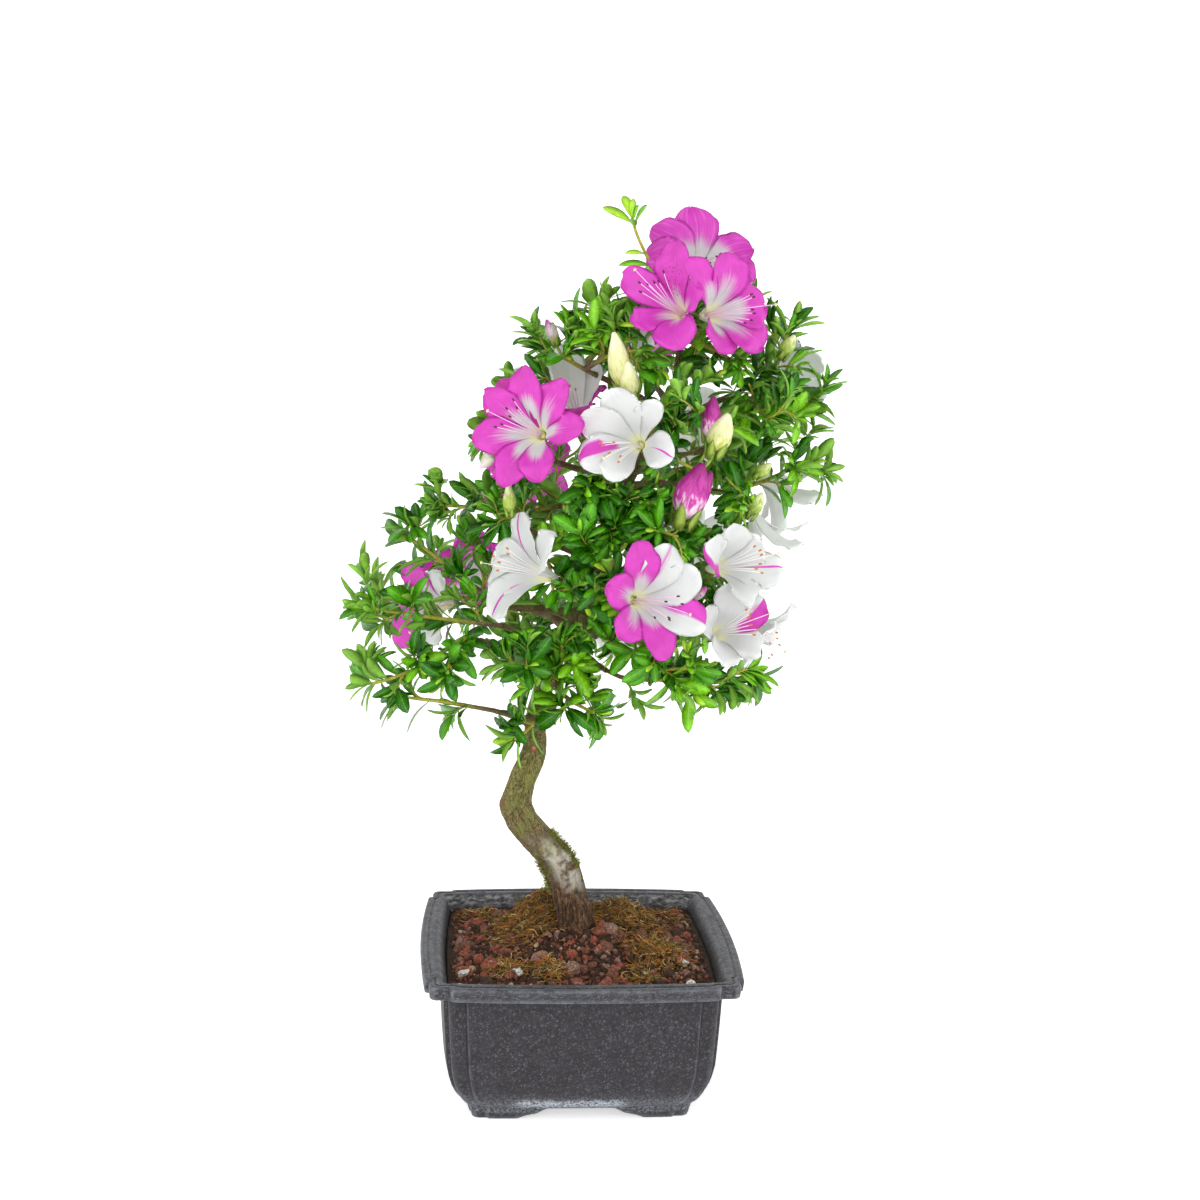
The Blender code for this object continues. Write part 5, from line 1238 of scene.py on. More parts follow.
def petal_colours(letter, rng):
    """How magenta, deep and flecked each point of a petal is, and how far aside of its stripe it lies,
    by the letter of its kind."""
    s, w = np.meshgrid(PETAL_STATIONS, PETAL_ACROSS, indexing="ij")
    wander = 0.06 * np.sin(9 * s + rng.uniform(0, 6))
    place = rng.uniform(-0.3, 0.3)
    out, bow = ease(s, 0.25, 0.45), s + 0.25 * w**2
    blush = {
        "m": 0.1 + 0.9 * ease(bow + wander, 0.3, 0.72),
        "f": 0.25 + 0.75 * ease(bow, 0.2, 0.55),
        "n": 0.3 + 0.7 * ease(bow, 0.2, 0.55),
        "d": 1 + 0 * s,
        "t": 0.86 * ease(s + 0.1 * w**2 + wander, 0.32, 0.62),
        "s": ease(s + 0.38 * w**2 + wander, 0.3, 0.76),
        "p": out * band(w, 0.35 + wander, 0.3 * ease(s, 0.15, 0.8) + 0.04, 0.08),
        "k": out * 0.6 * band(w, wander / 2, 0.05, 0.14),
        "R": out * ease(w + wander, 0, 0.12),
        "h": out * ease(-w + wander, 0, 0.12),
        "L": out * ease(-w + wander, 0.4, 0.5),
    }.get(letter, 0 * s)
    fleck = ease(s, 0.2, 0.32) * (1 - ease(s, 0.62, 0.78)) * band(w, 0, 0.42, 0.3)
    fleck = fleck * PETAL_FLECK.get(letter, 0)
    aside = w - place if letter in "lc" else 9 + 0 * w
    found = {"blush": blush, "fleck": fleck, "aside": aside}
    return {key: on_blade(value) for key, value in found.items()} | {"deep": PETAL_DEEP.get(letter, 0.2)}


FILAMENT_STEPS = 9


def stamen_paths(rng, foot, axis, width, lean, count):
    """Filaments that rise from the foot, lean to one side and turn up at their ends, and after them the
    style, which is longer."""
    way = spokes(axis, math.radians(90 + lean))
    aside = np.cross(axis, way)
    side = np.linspace(-1, 1, count + 1)[rng.permutation(count + 1)] * width * 0.13
    high = FLOWER_DEPTH * rng.uniform(0.98, 1.3, count + 1)
    out = width * rng.uniform(0.1, 0.27, count + 1)
    high[-1], out[-1], side[-1] = FLOWER_DEPTH * 1.45, width * 0.3, width * 0.04
    side, high, out = side[:, None], high[:, None], out[:, None]
    start = foot + axis * 2 + aside * (side * 0.12)
    bend = foot + axis * (high * 0.7) + way * (out * 0.12) + aside * (side * 0.3)
    end = foot + axis * high + way * out + aside * side + UP * (width * 0.03)
    return arcs(start, bend, end, FILAMENT_STEPS)


def beads(middles, ways, long, wide):
    """Small long balls round the middles, along the ways."""
    ball, faces = cube_ball(2)
    side, other = across(ways)
    frame = np.stack([side * wide, other * wide, unit(ways) * long], -2)
    return middles[:, None] + np.einsum("kj,nji->nki", ball, frame), faces


SEPAL_STATIONS = np.array([0, 0.35, 0.7, 1])[None, :, None]
SEPAL_WIDTHS = np.array([0.75, 1, 0.7, 0.05])[None, :, None]
SEPALS, SEPAL_THICK = 5, 0.3


def sepal_points(foot, axis, long, wide, flare):
    """Narrow green leaves round a flower's or a bud's foot, as blades that flare away from the axis."""
    spoke = spokes(axis, round_turns(SEPALS))[:, None]
    t = SEPAL_STATIONS
    middle = foot + spoke * (wide * 0.8 + flare * long * t**1.5) + axis * (long * (t - 0.35))
    aside = np.cross(spoke, axis) * (SEPAL_WIDTHS * wide / 2)
    front = np.stack([middle - aside, middle, middle + aside], 2).reshape(SEPALS, -1, 3)
    under = middle[:, 1:-1] - spoke * SEPAL_THICK
    return join([front, under], 1), blade_faces(t.size, 3)[0][:, ::-1]


STALK_STEPS = 10


def stalk_path(mass, foot, axis):
    """A stalk from the nearest twig of the mass to a foot, which it meets along the axis."""
    twigs = join([path for path, *_ in twig_paths(mass)])
    start = twigs[np.argmin(norm(twigs - (foot - axis * 7), axis=1))]
    bend = foot - axis * min(9, 0.6 * norm(foot - start))
    return arcs(start, bend, foot + axis, STALK_STEPS)


BUD_ROWS, BUD_COLS = 22, 20


def bud_rings(foot, tip, radius):
    """A bud of furled petals: an egg drawn to its tip, with seams that wind round it."""
    axis = unit(tip - foot)
    t = np.linspace(0.02, 0.99, BUD_ROWS)[:, None]
    turns = round_turns(BUD_COLS)[None]
    round_it = np.sin(math.pi * t**0.82) ** 0.8 * (1 - 0.25 * t)
    seam = 1 - 0.13 * np.abs(np.sin(1.5 * turns + 3.2 * t)) ** 6
    out = (radius * (0.12 + round_it) * seam)[..., None]
    return foot + axis * (t * norm(tip - foot))[..., None] + out * wheel(turns, *across(axis))


# ---- materials ----


def paint(colour, share=1):
    """A setting's colour or a hex code as linear RGBA, made darker, or lighter above 1."""
    if isinstance(colour, str):
        colour = linear(colour)
    return (*[min(1, channel * share) for channel in colour[:3]], 1)


def feed(socket, value):
    """Gives a socket a value, a hex colour or another node's output."""
    if isinstance(value, bpy.types.NodeSocket):
        socket.id_data.links.new(value, socket)
    else:
        socket.default_value = linear(value) if isinstance(value, str) else value


class Finish:
    """A material in the making: its nodes, its shader, the place on the object in millimetres, the
    finish's own colour and the colour so far."""

    def __init__(self, name, base, roughness, **shader):
        self.material = bpy.data.materials.new(name)
        self.material.use_nodes = True
        self.material.cycles.emission_sampling = "NONE"
        self.tree = self.material.node_tree
        self.shader = self.tree.nodes["Principled BSDF"].inputs
        self.base = self.colour = self.material.diffuse_color = paint(base)
        for key, value in {"Base_Color": self.base, "Roughness": roughness, **shader}.items():
            self.shader[key.replace("_", " ")].default_value = value
        place = {0: self.add("TexCoord", "Object"), 3: 1 / MM}
        self.place = self.add("VectorMath", 0, place, operation="SCALE")

    def add(self, kind, out, inputs=(), stops=(), **settings):
        """Adds a node with its settings, its inputs and a ramp's stops, and returns one of its outputs."""
        node = self.tree.nodes.new("ShaderNode" + kind)
        for key, value in settings.items():
            setattr(node, key, value)
        for key, value in dict(inputs).items():
            feed(node.inputs[key], value)
        for k, (place, colour) in enumerate(stops):
            elements = node.color_ramp.elements
            element = elements[k] if k < 2 else elements.new(place)
            element.position = place
            element.color = linear(colour)
        return node.outputs[out]

    def grain(self, size, detail, roughness=0.55, place=None):
        """Cloudy noise from 0 to 1 with features of this size in millimetres."""
        return self.add("TexNoise", "Fac", {
            "Vector": place or self.place, "Scale": 1 / size, "Detail": detail, "Roughness": roughness,
        })

    def cells(self, size, loose=1):
        """How far a place is from the middle of its speck, for specks this far apart in millimetres."""
        inputs = {"Vector": self.place, "Scale": 1 / size, "Randomness": loose}
        return self.add("TexVoronoi", "Distance", inputs)

    def stretched(self, *shares):
        """The place with its axes scaled, so that the grain on it runs along the smallest."""
        return self.add("VectorMath", 0, {0: self.place, 1: shares}, operation="MULTIPLY")

    def axis(self, which):
        """The place's x, y or z in millimetres."""
        return self.add("SeparateXYZ", which, {0: self.place})

    def surface(self):
        """Places round the piece and along it, or across a blade and along it."""
        return [self.add("SeparateXYZ", k, {0: self.add("TexCoord", "UV")}) for k in (0, 1)]

    def value(self, name):
        """The number that each point of the mesh holds under this name."""
        return self.add("Attribute", "Fac", attribute_name=name)

    def run(self, value, low, high, start=0, end=1):
        """A value's run from low to high spread smoothly over start to end."""
        run = {0: value, 1: low, 2: high, 3: start, 4: end}
        return self.add("MapRange", 0, run, interpolation_type="SMOOTHSTEP")

    def calc(self, operation, *values):
        return self.add("Math", 0, dict(enumerate(values)), operation=operation)

    def times(self, *values):
        """The product of all the values."""
        return functools.reduce(functools.partial(self.calc, "MULTIPLY"), values)

    def mix(self, share, a, b):
        """One colour mixed with another."""
        return self.add("Mix", 2, {0: share, 6: a, 7: b}, data_type="RGBA")

    def shade(self, share):
        return paint(self.base, share)

    def mottle(self, value, low, high, dark, light):
        """Starts the colour as the finish's own, made darker and lighter by the value's run."""
        self.colour = self.mix(self.run(value, low, high), self.shade(dark), self.shade(light))

    def lay(self, colour, value, low, high, start=0, end=1, mask=None):
        """Lays a colour over the colour so far, as far as the value's run and the mask let it."""
        share = self.run(value, low, high, start, end)
        self.colour = self.mix(share if mask is None else self.times(mask, share), self.colour, colour)

    def bumped(self, value, depth, strength):
        """Relief in the normal: depth is in millimetres."""
        relief = {"Height": value, "Distance": depth * MM, "Strength": strength}
        feed(self.shader["Normal"], self.add("Bump", 0, relief))

    def made(self, roughness=None):
        feed(self.shader["Base Color"], self.colour)
        if roughness is not None:
            feed(self.shader["Roughness"], roughness)
        return self.material


# Specks in the pot's plastic: spacing, reach, strength and colour.
SPECKS = (
    (3.6, 0.3, 0.2, "#6d7078"), (2.2, 0.3, 0.28, "#757880"), (1.3, 0.28, 0.36, "#7d7f87"),
    (1, 0.34, 0.4, "#26242a"),
)


# Polypropylene pot, black when moulded: it has greyed, carries pale limescale specks and a
# chalky run at the foot, and its rim is rubbed to a blue grey.
def pot_material(look):
    m = Finish("black polypropylene", look.pot_colour, 0.5, IOR=1.49, Specular_IOR_Level=0.28)
    haze, fine, scuff = m.grain(6, 5, 0.65), m.grain(1.5, 6, 0.85), m.grain(5, 5, 0.7)
    m.mottle(haze, 0.35, 0.7, 0.75, 1.25)
    m.lay(m.shade(0.35), fine, 0.5, 0.38, 0, 0.6)
    m.lay(m.shade(2.1), fine, 0.52, 0.66, 0, 0.5)
    z = m.axis(2)
    level = m.stretched(1, 1, 3)
    streak = m.run(m.grain(2.2, 6, 0.8, level), 0.5, 0.68)
    rim = m.mix(streak, paint(look.pot_rim_colour, 0.5), paint(look.pot_rim_colour, 3.2))
    m.lay(rim, haze, 0.3, 0.6, 0.7, 1, m.run(z, 69.5, 71.5))
    # Pale on the convex edges: scuffs, partly a painted highlight where the edges catch the light.
    edge = m.run(m.add("NewGeometry", "Pointiness"), 0.51, 0.55, 0, 0.5)
    m.lay("#8b919a", scuff, 0.35, 0.6, 0.2, 1, edge)
    m.lay("#8f959e", fine, 0.45, 0.62, 0.02, 0.65, m.times(m.run(z, 19, 8), m.run(z, 2, 5)))
    x = m.calc("ADD", m.axis(0), 4)
    run = m.times(m.run(x, -34, -24), m.run(x, 30, 20), m.run(z, 15, 11), m.run(z, 6, 9))
    m.lay("#b4bdc6", fine, 0.45, 0.53, 0, 0.95, run)
    inside = m.times(m.run(z, 77.2, 76.6), m.run(z, 69, 74), m.run(m.axis(1), 62, 67))
    m.lay("#a9abab", m.grain(5, 6, 0.7, level), 0.42, 0.66, 0, 0.75, inside)
    patch = m.run(m.grain(9, 3), 0.3, 0.6, 0.3, 1)
    for size, reach, strength, code in SPECKS:
        m.lay(code, m.cells(size), reach, reach * 0.6, mask=m.times(patch, strength))
    m.bumped(m.add("Mix", 0, {0: 0.5, 2: scuff, 3: m.grain(0.6, 2)}), 0.12, 0.5)
    return m.made(m.run(haze, 0.3, 0.7, 0.42, 0.62))


# Bonsai soil's finest part: dark crushed lava and humus, matt and damp. It is made darker still as
# painted shade, since it shows only in the gaps between the stones and the moss.
def soil_material(look):
    m = Finish("fine lava soil", look.soil_colour, 0.9)
    fine = m.grain(1.3, 5, 0.7)
    stops = (0.34, "#150b06"), (0.72, "#6b4127"), (0.52, "#38210f"), (0.85, "#a07850")
    m.colour = m.add("ValToRGB", 0, {0: fine}, stops)
    m.bumped(fine, 0.8, 0.9)
    return m.made()


# Crushed lava: porous, matt, freckled with pale crust and dark pores.
def stone_material(name, code, crust):
    m = Finish(name, code, 0.88)
    spots = m.grain(0.8, 4, 0.7)
    m.mottle(spots, 0.34, 0.66, 0.3, 1.6)
    m.lay("#cdb8a0", m.grain(1.7, 4, 0.75), 0.56, 0.68, 0, crust)
    m.bumped(spots, 0.4, 1)
    return m.made()


# Sphagnum dried on the soil, dull straw to brown, or growing green on the bark.
def moss_material(name, code):
    m = Finish(name, code, 0.85)
    m.mottle(m.grain(1.6, 3), 0.3, 0.7, 0.6, 1.35)
    m.bumped(m.grain(0.3, 2), 0.08, 0.5)
    return m.made()


# Spots on the bark: place, reach and colour, for the cut stub, its pith and the scar on the knob.
SCARS = (
    ((-25.2, -9.6, 182), 2.6, "#8f4f34"), ((-25.2, -9.6, 182), 1.2, "#c08a66"),
    ((-42, -9, 152), 4, "#6f5232"),
)


# Azalea bark, weathered: brown and scaly at the foot, whitened low on the front, olive grey above,
# with dark cracks.
def bark_material(look):
    m = Finish("azalea bark", look.bark_colour, 0.82)
    z = m.axis(2)
    cloud = m.grain(4.5, 5, 0.7)
    flat = m.add("ValToRGB", 0, {0: m.run(z, 84, 330)}, (
        (0, "#653a1b"), (1, "#827d42"), (0.06, "#774b29"), (0.11, "#7f6b43"), (0.25, "#918a48"),
        (0.6, "#8b8543"),
    ))
    m.colour = m.mix(m.run(cloud, 0.28, 0.55), m.mix(0.35, flat, "#54452a"), flat)
    m.lay("#aca56a", cloud, 0.52, 0.75, 0, 0.45)
    lines = m.grain(0.6, 4, 0.75, m.stretched(1, 1, 0.4))
    m.lay("#33260f", lines, 0.4, 0.55, 0.88, 0)
    m.lay("#b8b283", lines, 0.55, 0.7, 0, 0.5)
    low = m.run(z, 128, 102, 0.2, 1)
    fissures = m.grain(1.25, 4, 0.65, m.stretched(1, 1, 0.16))
    m.lay("#26170b", fissures, 0.4, 0.53, 0.9, 0, low)
    m.lay("#9c7d58", fissures, 0.55, 0.68, 0, 0.5, low)
    m.lay("#7f8840", m.grain(11, 4), 0.5, 0.64, 0, 0.5, m.run(z, 105, 125))
    m.lay("#2b1e12", z, 150, 115, 0.4, 0.75, m.value("crack"))
    turn = m.surface()[0]
    front = m.times(m.run(turn, 0.62, 0.76, 0.12, 1), m.run(turn, 0.98, 0.88))
    bloom = m.times(m.run(z, 98, 113), m.run(z, 139, 124), front)
    m.lay("#cfccbc", m.grain(7, 5, 0.65), 0.36, 0.6, 0.06, 0.82, bloom)
    for place, reach, code in SCARS:
        far = m.add("VectorMath", 1, {0: m.place, 1: place}, operation="DISTANCE")
        m.lay(code, far, reach, reach * 0.6, 0, 0.85)
    m.bumped(lines, 0.75, 1)
    return m.made()


# A bough's bark: young, smooth and olive brown, finely lined and cracked only a little.
def bough_material(look):
    m = Finish("young azalea bark", look.bough_colour, 0.75)
    lines = m.grain(0.8, 4, 0.7, m.stretched(0.5, 0.8, 0.8))
    m.lay("#93895a", m.grain(8, 3), 0.35, 0.65)
    m.lay(m.shade(0.45), lines, 0.4, 0.7, 0.5, 0)
    m.colour = m.mix(m.times(m.value("crack"), 0.5), m.colour, m.shade(0.35))
    m.bumped(lines, 0.25, 0.7)
    return m.made()


# Twigs: brown where they are old and olive yellow where they grew this year.
def twig_material(look):
    m = Finish("azalea twig", look.twig_colour, 0.62)
    spots = m.grain(1.8, 3)
    m.mottle(spots, 0.3, 0.7, 0.75, 1.25)
    old = m.mix(m.run(spots, 0.3, 0.7), "#5e4a33", "#86704f")
    m.colour = m.mix(m.value("age"), m.colour, old)
    m.bumped(m.grain(0.7, 2), 0.12, 0.6)
    return m.made()


# An azalea leaf's upper side: waxy, with a pale sunken rib and slightly raised blade between veins.
def leaf_material(name, colour):
    m = Finish(name, colour, 0.34, IOR=1.42, Specular_IOR_Level=0.5)
    u, v = m.surface()
    off = m.calc("ABSOLUTE", m.calc("SUBTRACT", u, 0.5))
    cloud = m.grain(11, 3)
    m.mottle(cloud, 0.3, 0.7, 0.68, 1.3)
    m.lay(m.shade(1.5), m.grain(3, 2), 0.45, 0.65, 0, 0.3)
    rib = m.run(off, 0.05, 0.012, 0, 0.4)
    m.colour = m.mix(rib, m.colour, m.mix(0.5, m.shade(1.8), "#b7d36a"))
    veins = m.calc("SINE", m.times(m.calc("SUBTRACT", v, m.times(off, 0.55)), 44))
    m.bumped(m.calc("ADD", veins, m.times(rib, -5)), 0.06, 0.5)
    return m.made(m.run(cloud, 0.3, 0.7, 0.2, 0.38))


# The same leaf's underside: paler, matt, with a raised rib.
def leaf_back_material(look):
    m = Finish("leaf underside", look.leaf_back_colour, 0.6)
    m.mottle(m.grain(6, 3), 0.3, 0.7, 0.78, 1.2)
    m.bumped(m.grain(0.8, 2), 0.08, 0.5)
    return m.made()


# A petal: thin, matt and a little translucent, white flushed with magenta, finely veined. Its white
# carries painted shade, greyer inside and towards the throat, and a painted highlight along its rim.
# A painted glow, an emission of its own colour, stands in for the light that comes through it: faint
# on the front, stronger in the narrow throat and strongest on the back.
# Painted glow: emission strengths for the front, the back and the throat.
PETAL_GLOW, BACK_GLOW, THROAT_GLOW = 0.03, 0.42, 0.35


def petal_material(look, back=False):
    m = Finish("azalea petal back" if back else "azalea petal", look.petal_white, 0.5)
    u, v = m.surface()
    magenta = m.mix(m.value("deep"), paint(look.petal_magenta), paint(look.petal_deep))
    cloud = m.run(m.grain(6, 3), 0.35, 0.7, 0, 0.3)
    magenta = m.mix(cloud, magenta, paint(look.petal_magenta, 1.35))
    lines = m.grain(1, 3, 0.5, m.add("CombineXYZ", 0, {0: m.times(u, 22), 1: m.times(v, 1.6)}))
    off = m.times(m.calc("ABSOLUTE", m.calc("SUBTRACT", u, 0.5)), 2)
    # Painted shade and highlight: darker inside the petal, lighter along its sides and tip.
    m.mottle(m.calc("MAXIMUM", off, v), 0.8, 0.98, 0.9, 1.14)
    # Painted shade: greyer towards the throat.
    m.lay(m.shade(0.68), v, 0.85, 0.3, 0, 0.55)
    m.lay("#dfe0a8", v, 0.3, 0.08, 0, 0.15 if back else 0.8)
    m.lay("#b4b8ba", lines, 0.48, 0.7, 0, 0.3)
    blush = m.value("blush")
    edge = m.calc("ADD", blush, m.run(lines, 0.25, 0.75, -0.16, 0.16))
    share = m.times(m.run(edge, 0.1, 0.9), m.run(blush, 0.01, 0.08))
    wide = m.run(v, 0.25, 0.85, 0.012, 0.055)
    aside = m.calc("SUBTRACT", m.calc("ABSOLUTE", m.value("aside")), wide)
    stripe = m.times(m.run(aside, 0.02, -0.01), m.run(v, 0.3, 0.45))
    share = m.calc("MAXIMUM", share, stripe)
    m.colour = m.mix(share, m.colour, magenta)
    m.lay(m.mix(share, "#d9dce4", paint(look.petal_deep, 0.9)), lines, 0.5, 0.75, 0, 0.22)
    m.lay("#8c0a5e", m.cells(1.5, 0.9), 0.42, 0.26, mask=m.value("fleck"))
    m.bumped(lines, 0.25, 0.5)
    # Painted glow: the petal emits its own colour, standing in for light through it, most on the back.
    feed(m.shader["Emission Color"], m.colour)
    glow = m.run(v, 0.42, 0.1, BACK_GLOW if back else PETAL_GLOW, THROAT_GLOW)
    feed(m.shader["Emission Strength"], glow)
    return m.made()


def small_material(name, code, roughness, speckled="#ffffff", share=0.2):
    """A plain small part's material, mottled with a second colour."""
    m = Finish(name, code, roughness)
    spots = m.grain(0.9, 3)
    m.lay(speckled, spots, 0.4, 0.7, 0, share)
    m.bumped(spots, 0.08, 0.4)
    return m.made()


# A bud: scales of green, then furled petals that darken to the tip, streaked along.
def bud_material(name, foot, middle, tip):
    m = Finish(name, middle, 0.48)
    u, v = m.surface()
    turn = m.times(u, 6.283)
    round_it = {0: m.calc("SINE", turn), 1: m.times(v, 1.2), 2: m.calc("COSINE", turn)}
    lines = m.grain(0.2, 3, 0.5, m.add("CombineXYZ", 0, round_it))
    along = m.calc("ADD", v, m.run(lines, 0.25, 0.75, -0.26, 0.26))
    m.colour = m.add("ValToRGB", 0, {0: along}, ((0.12, foot), (0.9, tip), (0.42, middle), (0.62, middle)))
    m.bumped(lines, 0.2, 0.5)
    return m.made()


# Matt white paper, which glows a little so that it stays white.
def floor_material(look):
    m = Finish("white paper sweep", look.floor_colour, 0.9, Emission_Strength=look.floor_glow)
    feed(m.shader["Emission Color"], m.base)
    return m.made()


# ---- settings ----


def tone(name, code, what):
    """A colour that can be changed."""
    return bpy.props.FloatVectorProperty(
        name=name, description="Colour of " + what, subtype="COLOR", min=0, max=1, default=linear(code)[:3]
    )


def amount(name, default, low, high, what, subtype="NONE", kind=bpy.props.FloatProperty):
    """A number that can be changed."""
    return kind(name=name, description=what, default=default, min=low, max=high, subtype=subtype)


def number(*row):
    """A whole number that can be changed."""
    return amount(*row, kind=bpy.props.IntProperty)


class AzaleaPot(PropertyGroup):
    """What can be changed on the pot and what it holds"""

    pot_colour: tone("Pot", "#302d31", "the pot's plastic")
    pot_rim_colour: tone("Rim", "#454448", "the rubbed rim")
    soil_colour: tone("Soil", "#3b261c", "the fine soil between the stones")
    stone_step: amount(
        "Stone spacing", 3.2 * MM, 2 * MM, 12 * MM, "Distance between the lava stones", "DISTANCE"
    )
    strand_count: number("Moss strands", 6000, 0, 6500, "Number of strands of dry moss")


class AzaleaWood(PropertyGroup):
    """What can be changed on the trunk, the boughs and the twigs"""

    bark_colour: tone("Bark", "#7d6f47", "the trunk's bark")
    bough_colour: tone("Boughs", "#756238", "the boughs' bark")
    twig_colour: tone("Twigs", "#a9a437", "Colour of this year's twigs")
    relief: amount("Bark relief", 0.65 * MM, 0, 1.5 * MM, "Depth of the bark's cracks", "DISTANCE")


class AzaleaLeaves(PropertyGroup):
    """What can be changed on the leaves"""

    dark_colour: tone("Old leaves", "#2e7506", "the oldest leaves")
    mid_colour: tone("Grown leaves", "#4d9c08", "grown leaves")
    light_colour: tone("New leaves", "#7cc41c", "leaves not long unfolded")
    young_colour: tone("Youngest leaves", "#aee438", "leaves just unfolded")
    leaf_back_colour: tone("Undersides", "#86bd3f", "the leaves' undersides")


class AzaleaBlossom(PropertyGroup):
    """What can be changed on the flowers and buds"""

    petal_white: tone("White", "#d8dad8", "the white of the petals")
    petal_magenta: tone("Magenta", "#c939b4", "the magenta of the petals")
    petal_deep: tone("Deep magenta", "#ad0c88", "the deepest magenta")
    stamens: number("Stamens", 6, 0, 10, "Number of stamens in a flower")


class AzaleaStage(PropertyGroup):
    """What can be changed on the stage"""

    floor_colour: tone("Floor", "#f7f7f7", "the floor and the wall behind")
    floor_glow: amount("Floor glow", 0.62, 0, 2, "How far the floor lights itself, to stay white")
    exposure: amount("Exposure", -0.12, -3, 3, "Brightness of the picture, in stops")
    sky: amount("Surrounding light", 0.45, 0, 3, "Strength of the even light from all round")
    key: amount("Main light", 9, 0, 200, "Power of the large light at the front left", "POWER")
    fill: amount("Fill light", 3, 0, 200, "Power of the large light at the front right", "POWER")


# ---- pieces ----


class AZALEA_OT_pot(Operator):
    """Build the square training pot with its corner blocks, feet and rim"""

    bl_idname = "azalea.pot"
    bl_label = "Pot"

    def execute(self, context):
        pile = Pile().add(*loft(pot_rings()))
        pile.piece("training_pot", [pot_material(context.scene.azalea_pot)], "pot", ["pot"])
        return {"FINISHED"}


class AZALEA_OT_soil(Operator):
    """Build the heaped soil"""

    bl_idname = "azalea.soil"
    bl_label = "Soil"

    def execute(self, context):
        pile = Pile().add(*loft(soil_rings()))
        pile.piece("soil_bed", [soil_material(context.scene.azalea_pot)], "soil", ["soil"])
        return {"FINISHED"}


# Kinds of stone: name, colour, how crusted and how common. Pumice takes its share from red lava.
STONE_KINDS = (
    ("red lava", "#8c4a36", 0.5, 0.36),
    ("brown lava", "#6e4430", 0.25, 0.28),
    ("dark lava", "#3c2414", 0.12, 0.22),
    ("purple lava", "#8a685c", 0.5, 0.14),
    ("crusted pumice", "#b49a78", 0.8, 0),
    ("pale chips", "#dcd6c6", 0.6, 0),
)
# Sizes of stone: spacing as a share of the setting, smallest and largest radius, faces along a side,
# roughness, how thickly they lie and the share that is pumice.
STONE_SIZES = (
    (1, 0.8, 1.8, 2, 0.2, 0.9, 0.06),
    (2, 1.9, 3.3, 3, 0.16, 0.8, 0.02),
    (4, 3.4, 4.9, 5, 0.14, 0.7, 0),
    (0.72, 0.35, 0.7, 1, 0.2, 0.8, 0.1),
)
# Pale chips on the soil: x, y and radius.
PALE_CHIPS = np.array(
    [(-60, -44, 3.4), (54, -34, 2.6), (-62, -60, 2.2), (54, -58, 2.4), (-33, -46, 3)]
)
CHIP_LIFT = 1.2


class AZALEA_OT_stones(Operator):
    """Scatter the lava stones over the soil"""

    bl_idname = "azalea.stones"
    bl_label = "Stones"

    def execute(self, context):
        rng = np.random.default_rng(5)
        step = context.scene.azalea_pot.stone_step / MM
        pile = Pile()
        for spacing, low, high, count, rough, share, pumice in STONE_SIZES:
            spots = scattered(rng, step * spacing, SOIL_EDGE - high - 2.4)
            bare = rng.random(len(spots)) * (1.15 - 0.75 * moss_cover(spots)) > 1 - share * 0.8
            spots = spots[bare]
            shapes, faces = stones(rng, spots, rng.uniform(low, high, len(spots)), count, rough)
            common = np.array([kind[3] for kind in STONE_KINDS]) + (-pumice, 0, 0, 0, pumice, 0)
            pile.add(shapes, faces, rng.choice(len(common), len(spots), p=common)[:, None])
        shapes, faces = stones(rng, PALE_CHIPS[:, :2], PALE_CHIPS[:, 2], 4, 0.16)
        pile.add(shapes + (0, 0, CHIP_LIFT), faces, 5)
        pile.piece("lava_stones", [stone_material(*kind[:3]) for kind in STONE_KINDS], "soil", smooth=False)
        return {"FINISHED"}


DRY_MOSS = (
    ("golden sphagnum", "#b37d38"), ("brown sphagnum", "#5c3b1a"), ("yellow sphagnum", "#dcbf83"),
    ("olive sphagnum", "#77732f"),
)
STRAND_RADII = np.array([0.14, 0.21, 0.22, 0.17, 0.08])


class AZALEA_OT_moss(Operator):
    """Lay the dry moss"""

    bl_idname = "azalea.moss"
    bl_label = "Moss"

    def execute(self, context):
        rng = np.random.default_rng(8)
        count = context.scene.azalea_pot.strand_count
        spots = rng.uniform(-66, 66, (count * 12, 2))
        patches = np.array(MOSS_PATCHES)[:, None]
        away = np.hypot(*(spots - patches[..., :2]).transpose(2, 0, 1)) / patches[..., 2]
        golds = patches[np.argmin(away, 0), 0, 4]
        kept = rng.random(len(spots)) < moss_cover(spots) ** 1.3
        kept &= np.hypot(spots[:, 0] + 1, spots[:, 1]) > 11
        spots, golds = spots[kept][:count], golds[kept][:count]
        points, faces = tubes(moss_strands(rng, spots), STRAND_RADII, 3)
        golden = rng.random(len(spots)) < golds * 0.8
        bright = rng.choice([0, 2, 3], len(spots), p=(0.6, 0.25, 0.15))
        dull = rng.choice([0, 1, 3], len(spots), p=(0.32, 0.5, 0.18))
        pile = Pile().add(points, faces, np.where(golden, bright, dull)[:, None])
        pile.piece("dry_moss", [moss_material(*kind) for kind in DRY_MOSS], "soil")
        return {"FINISHED"}


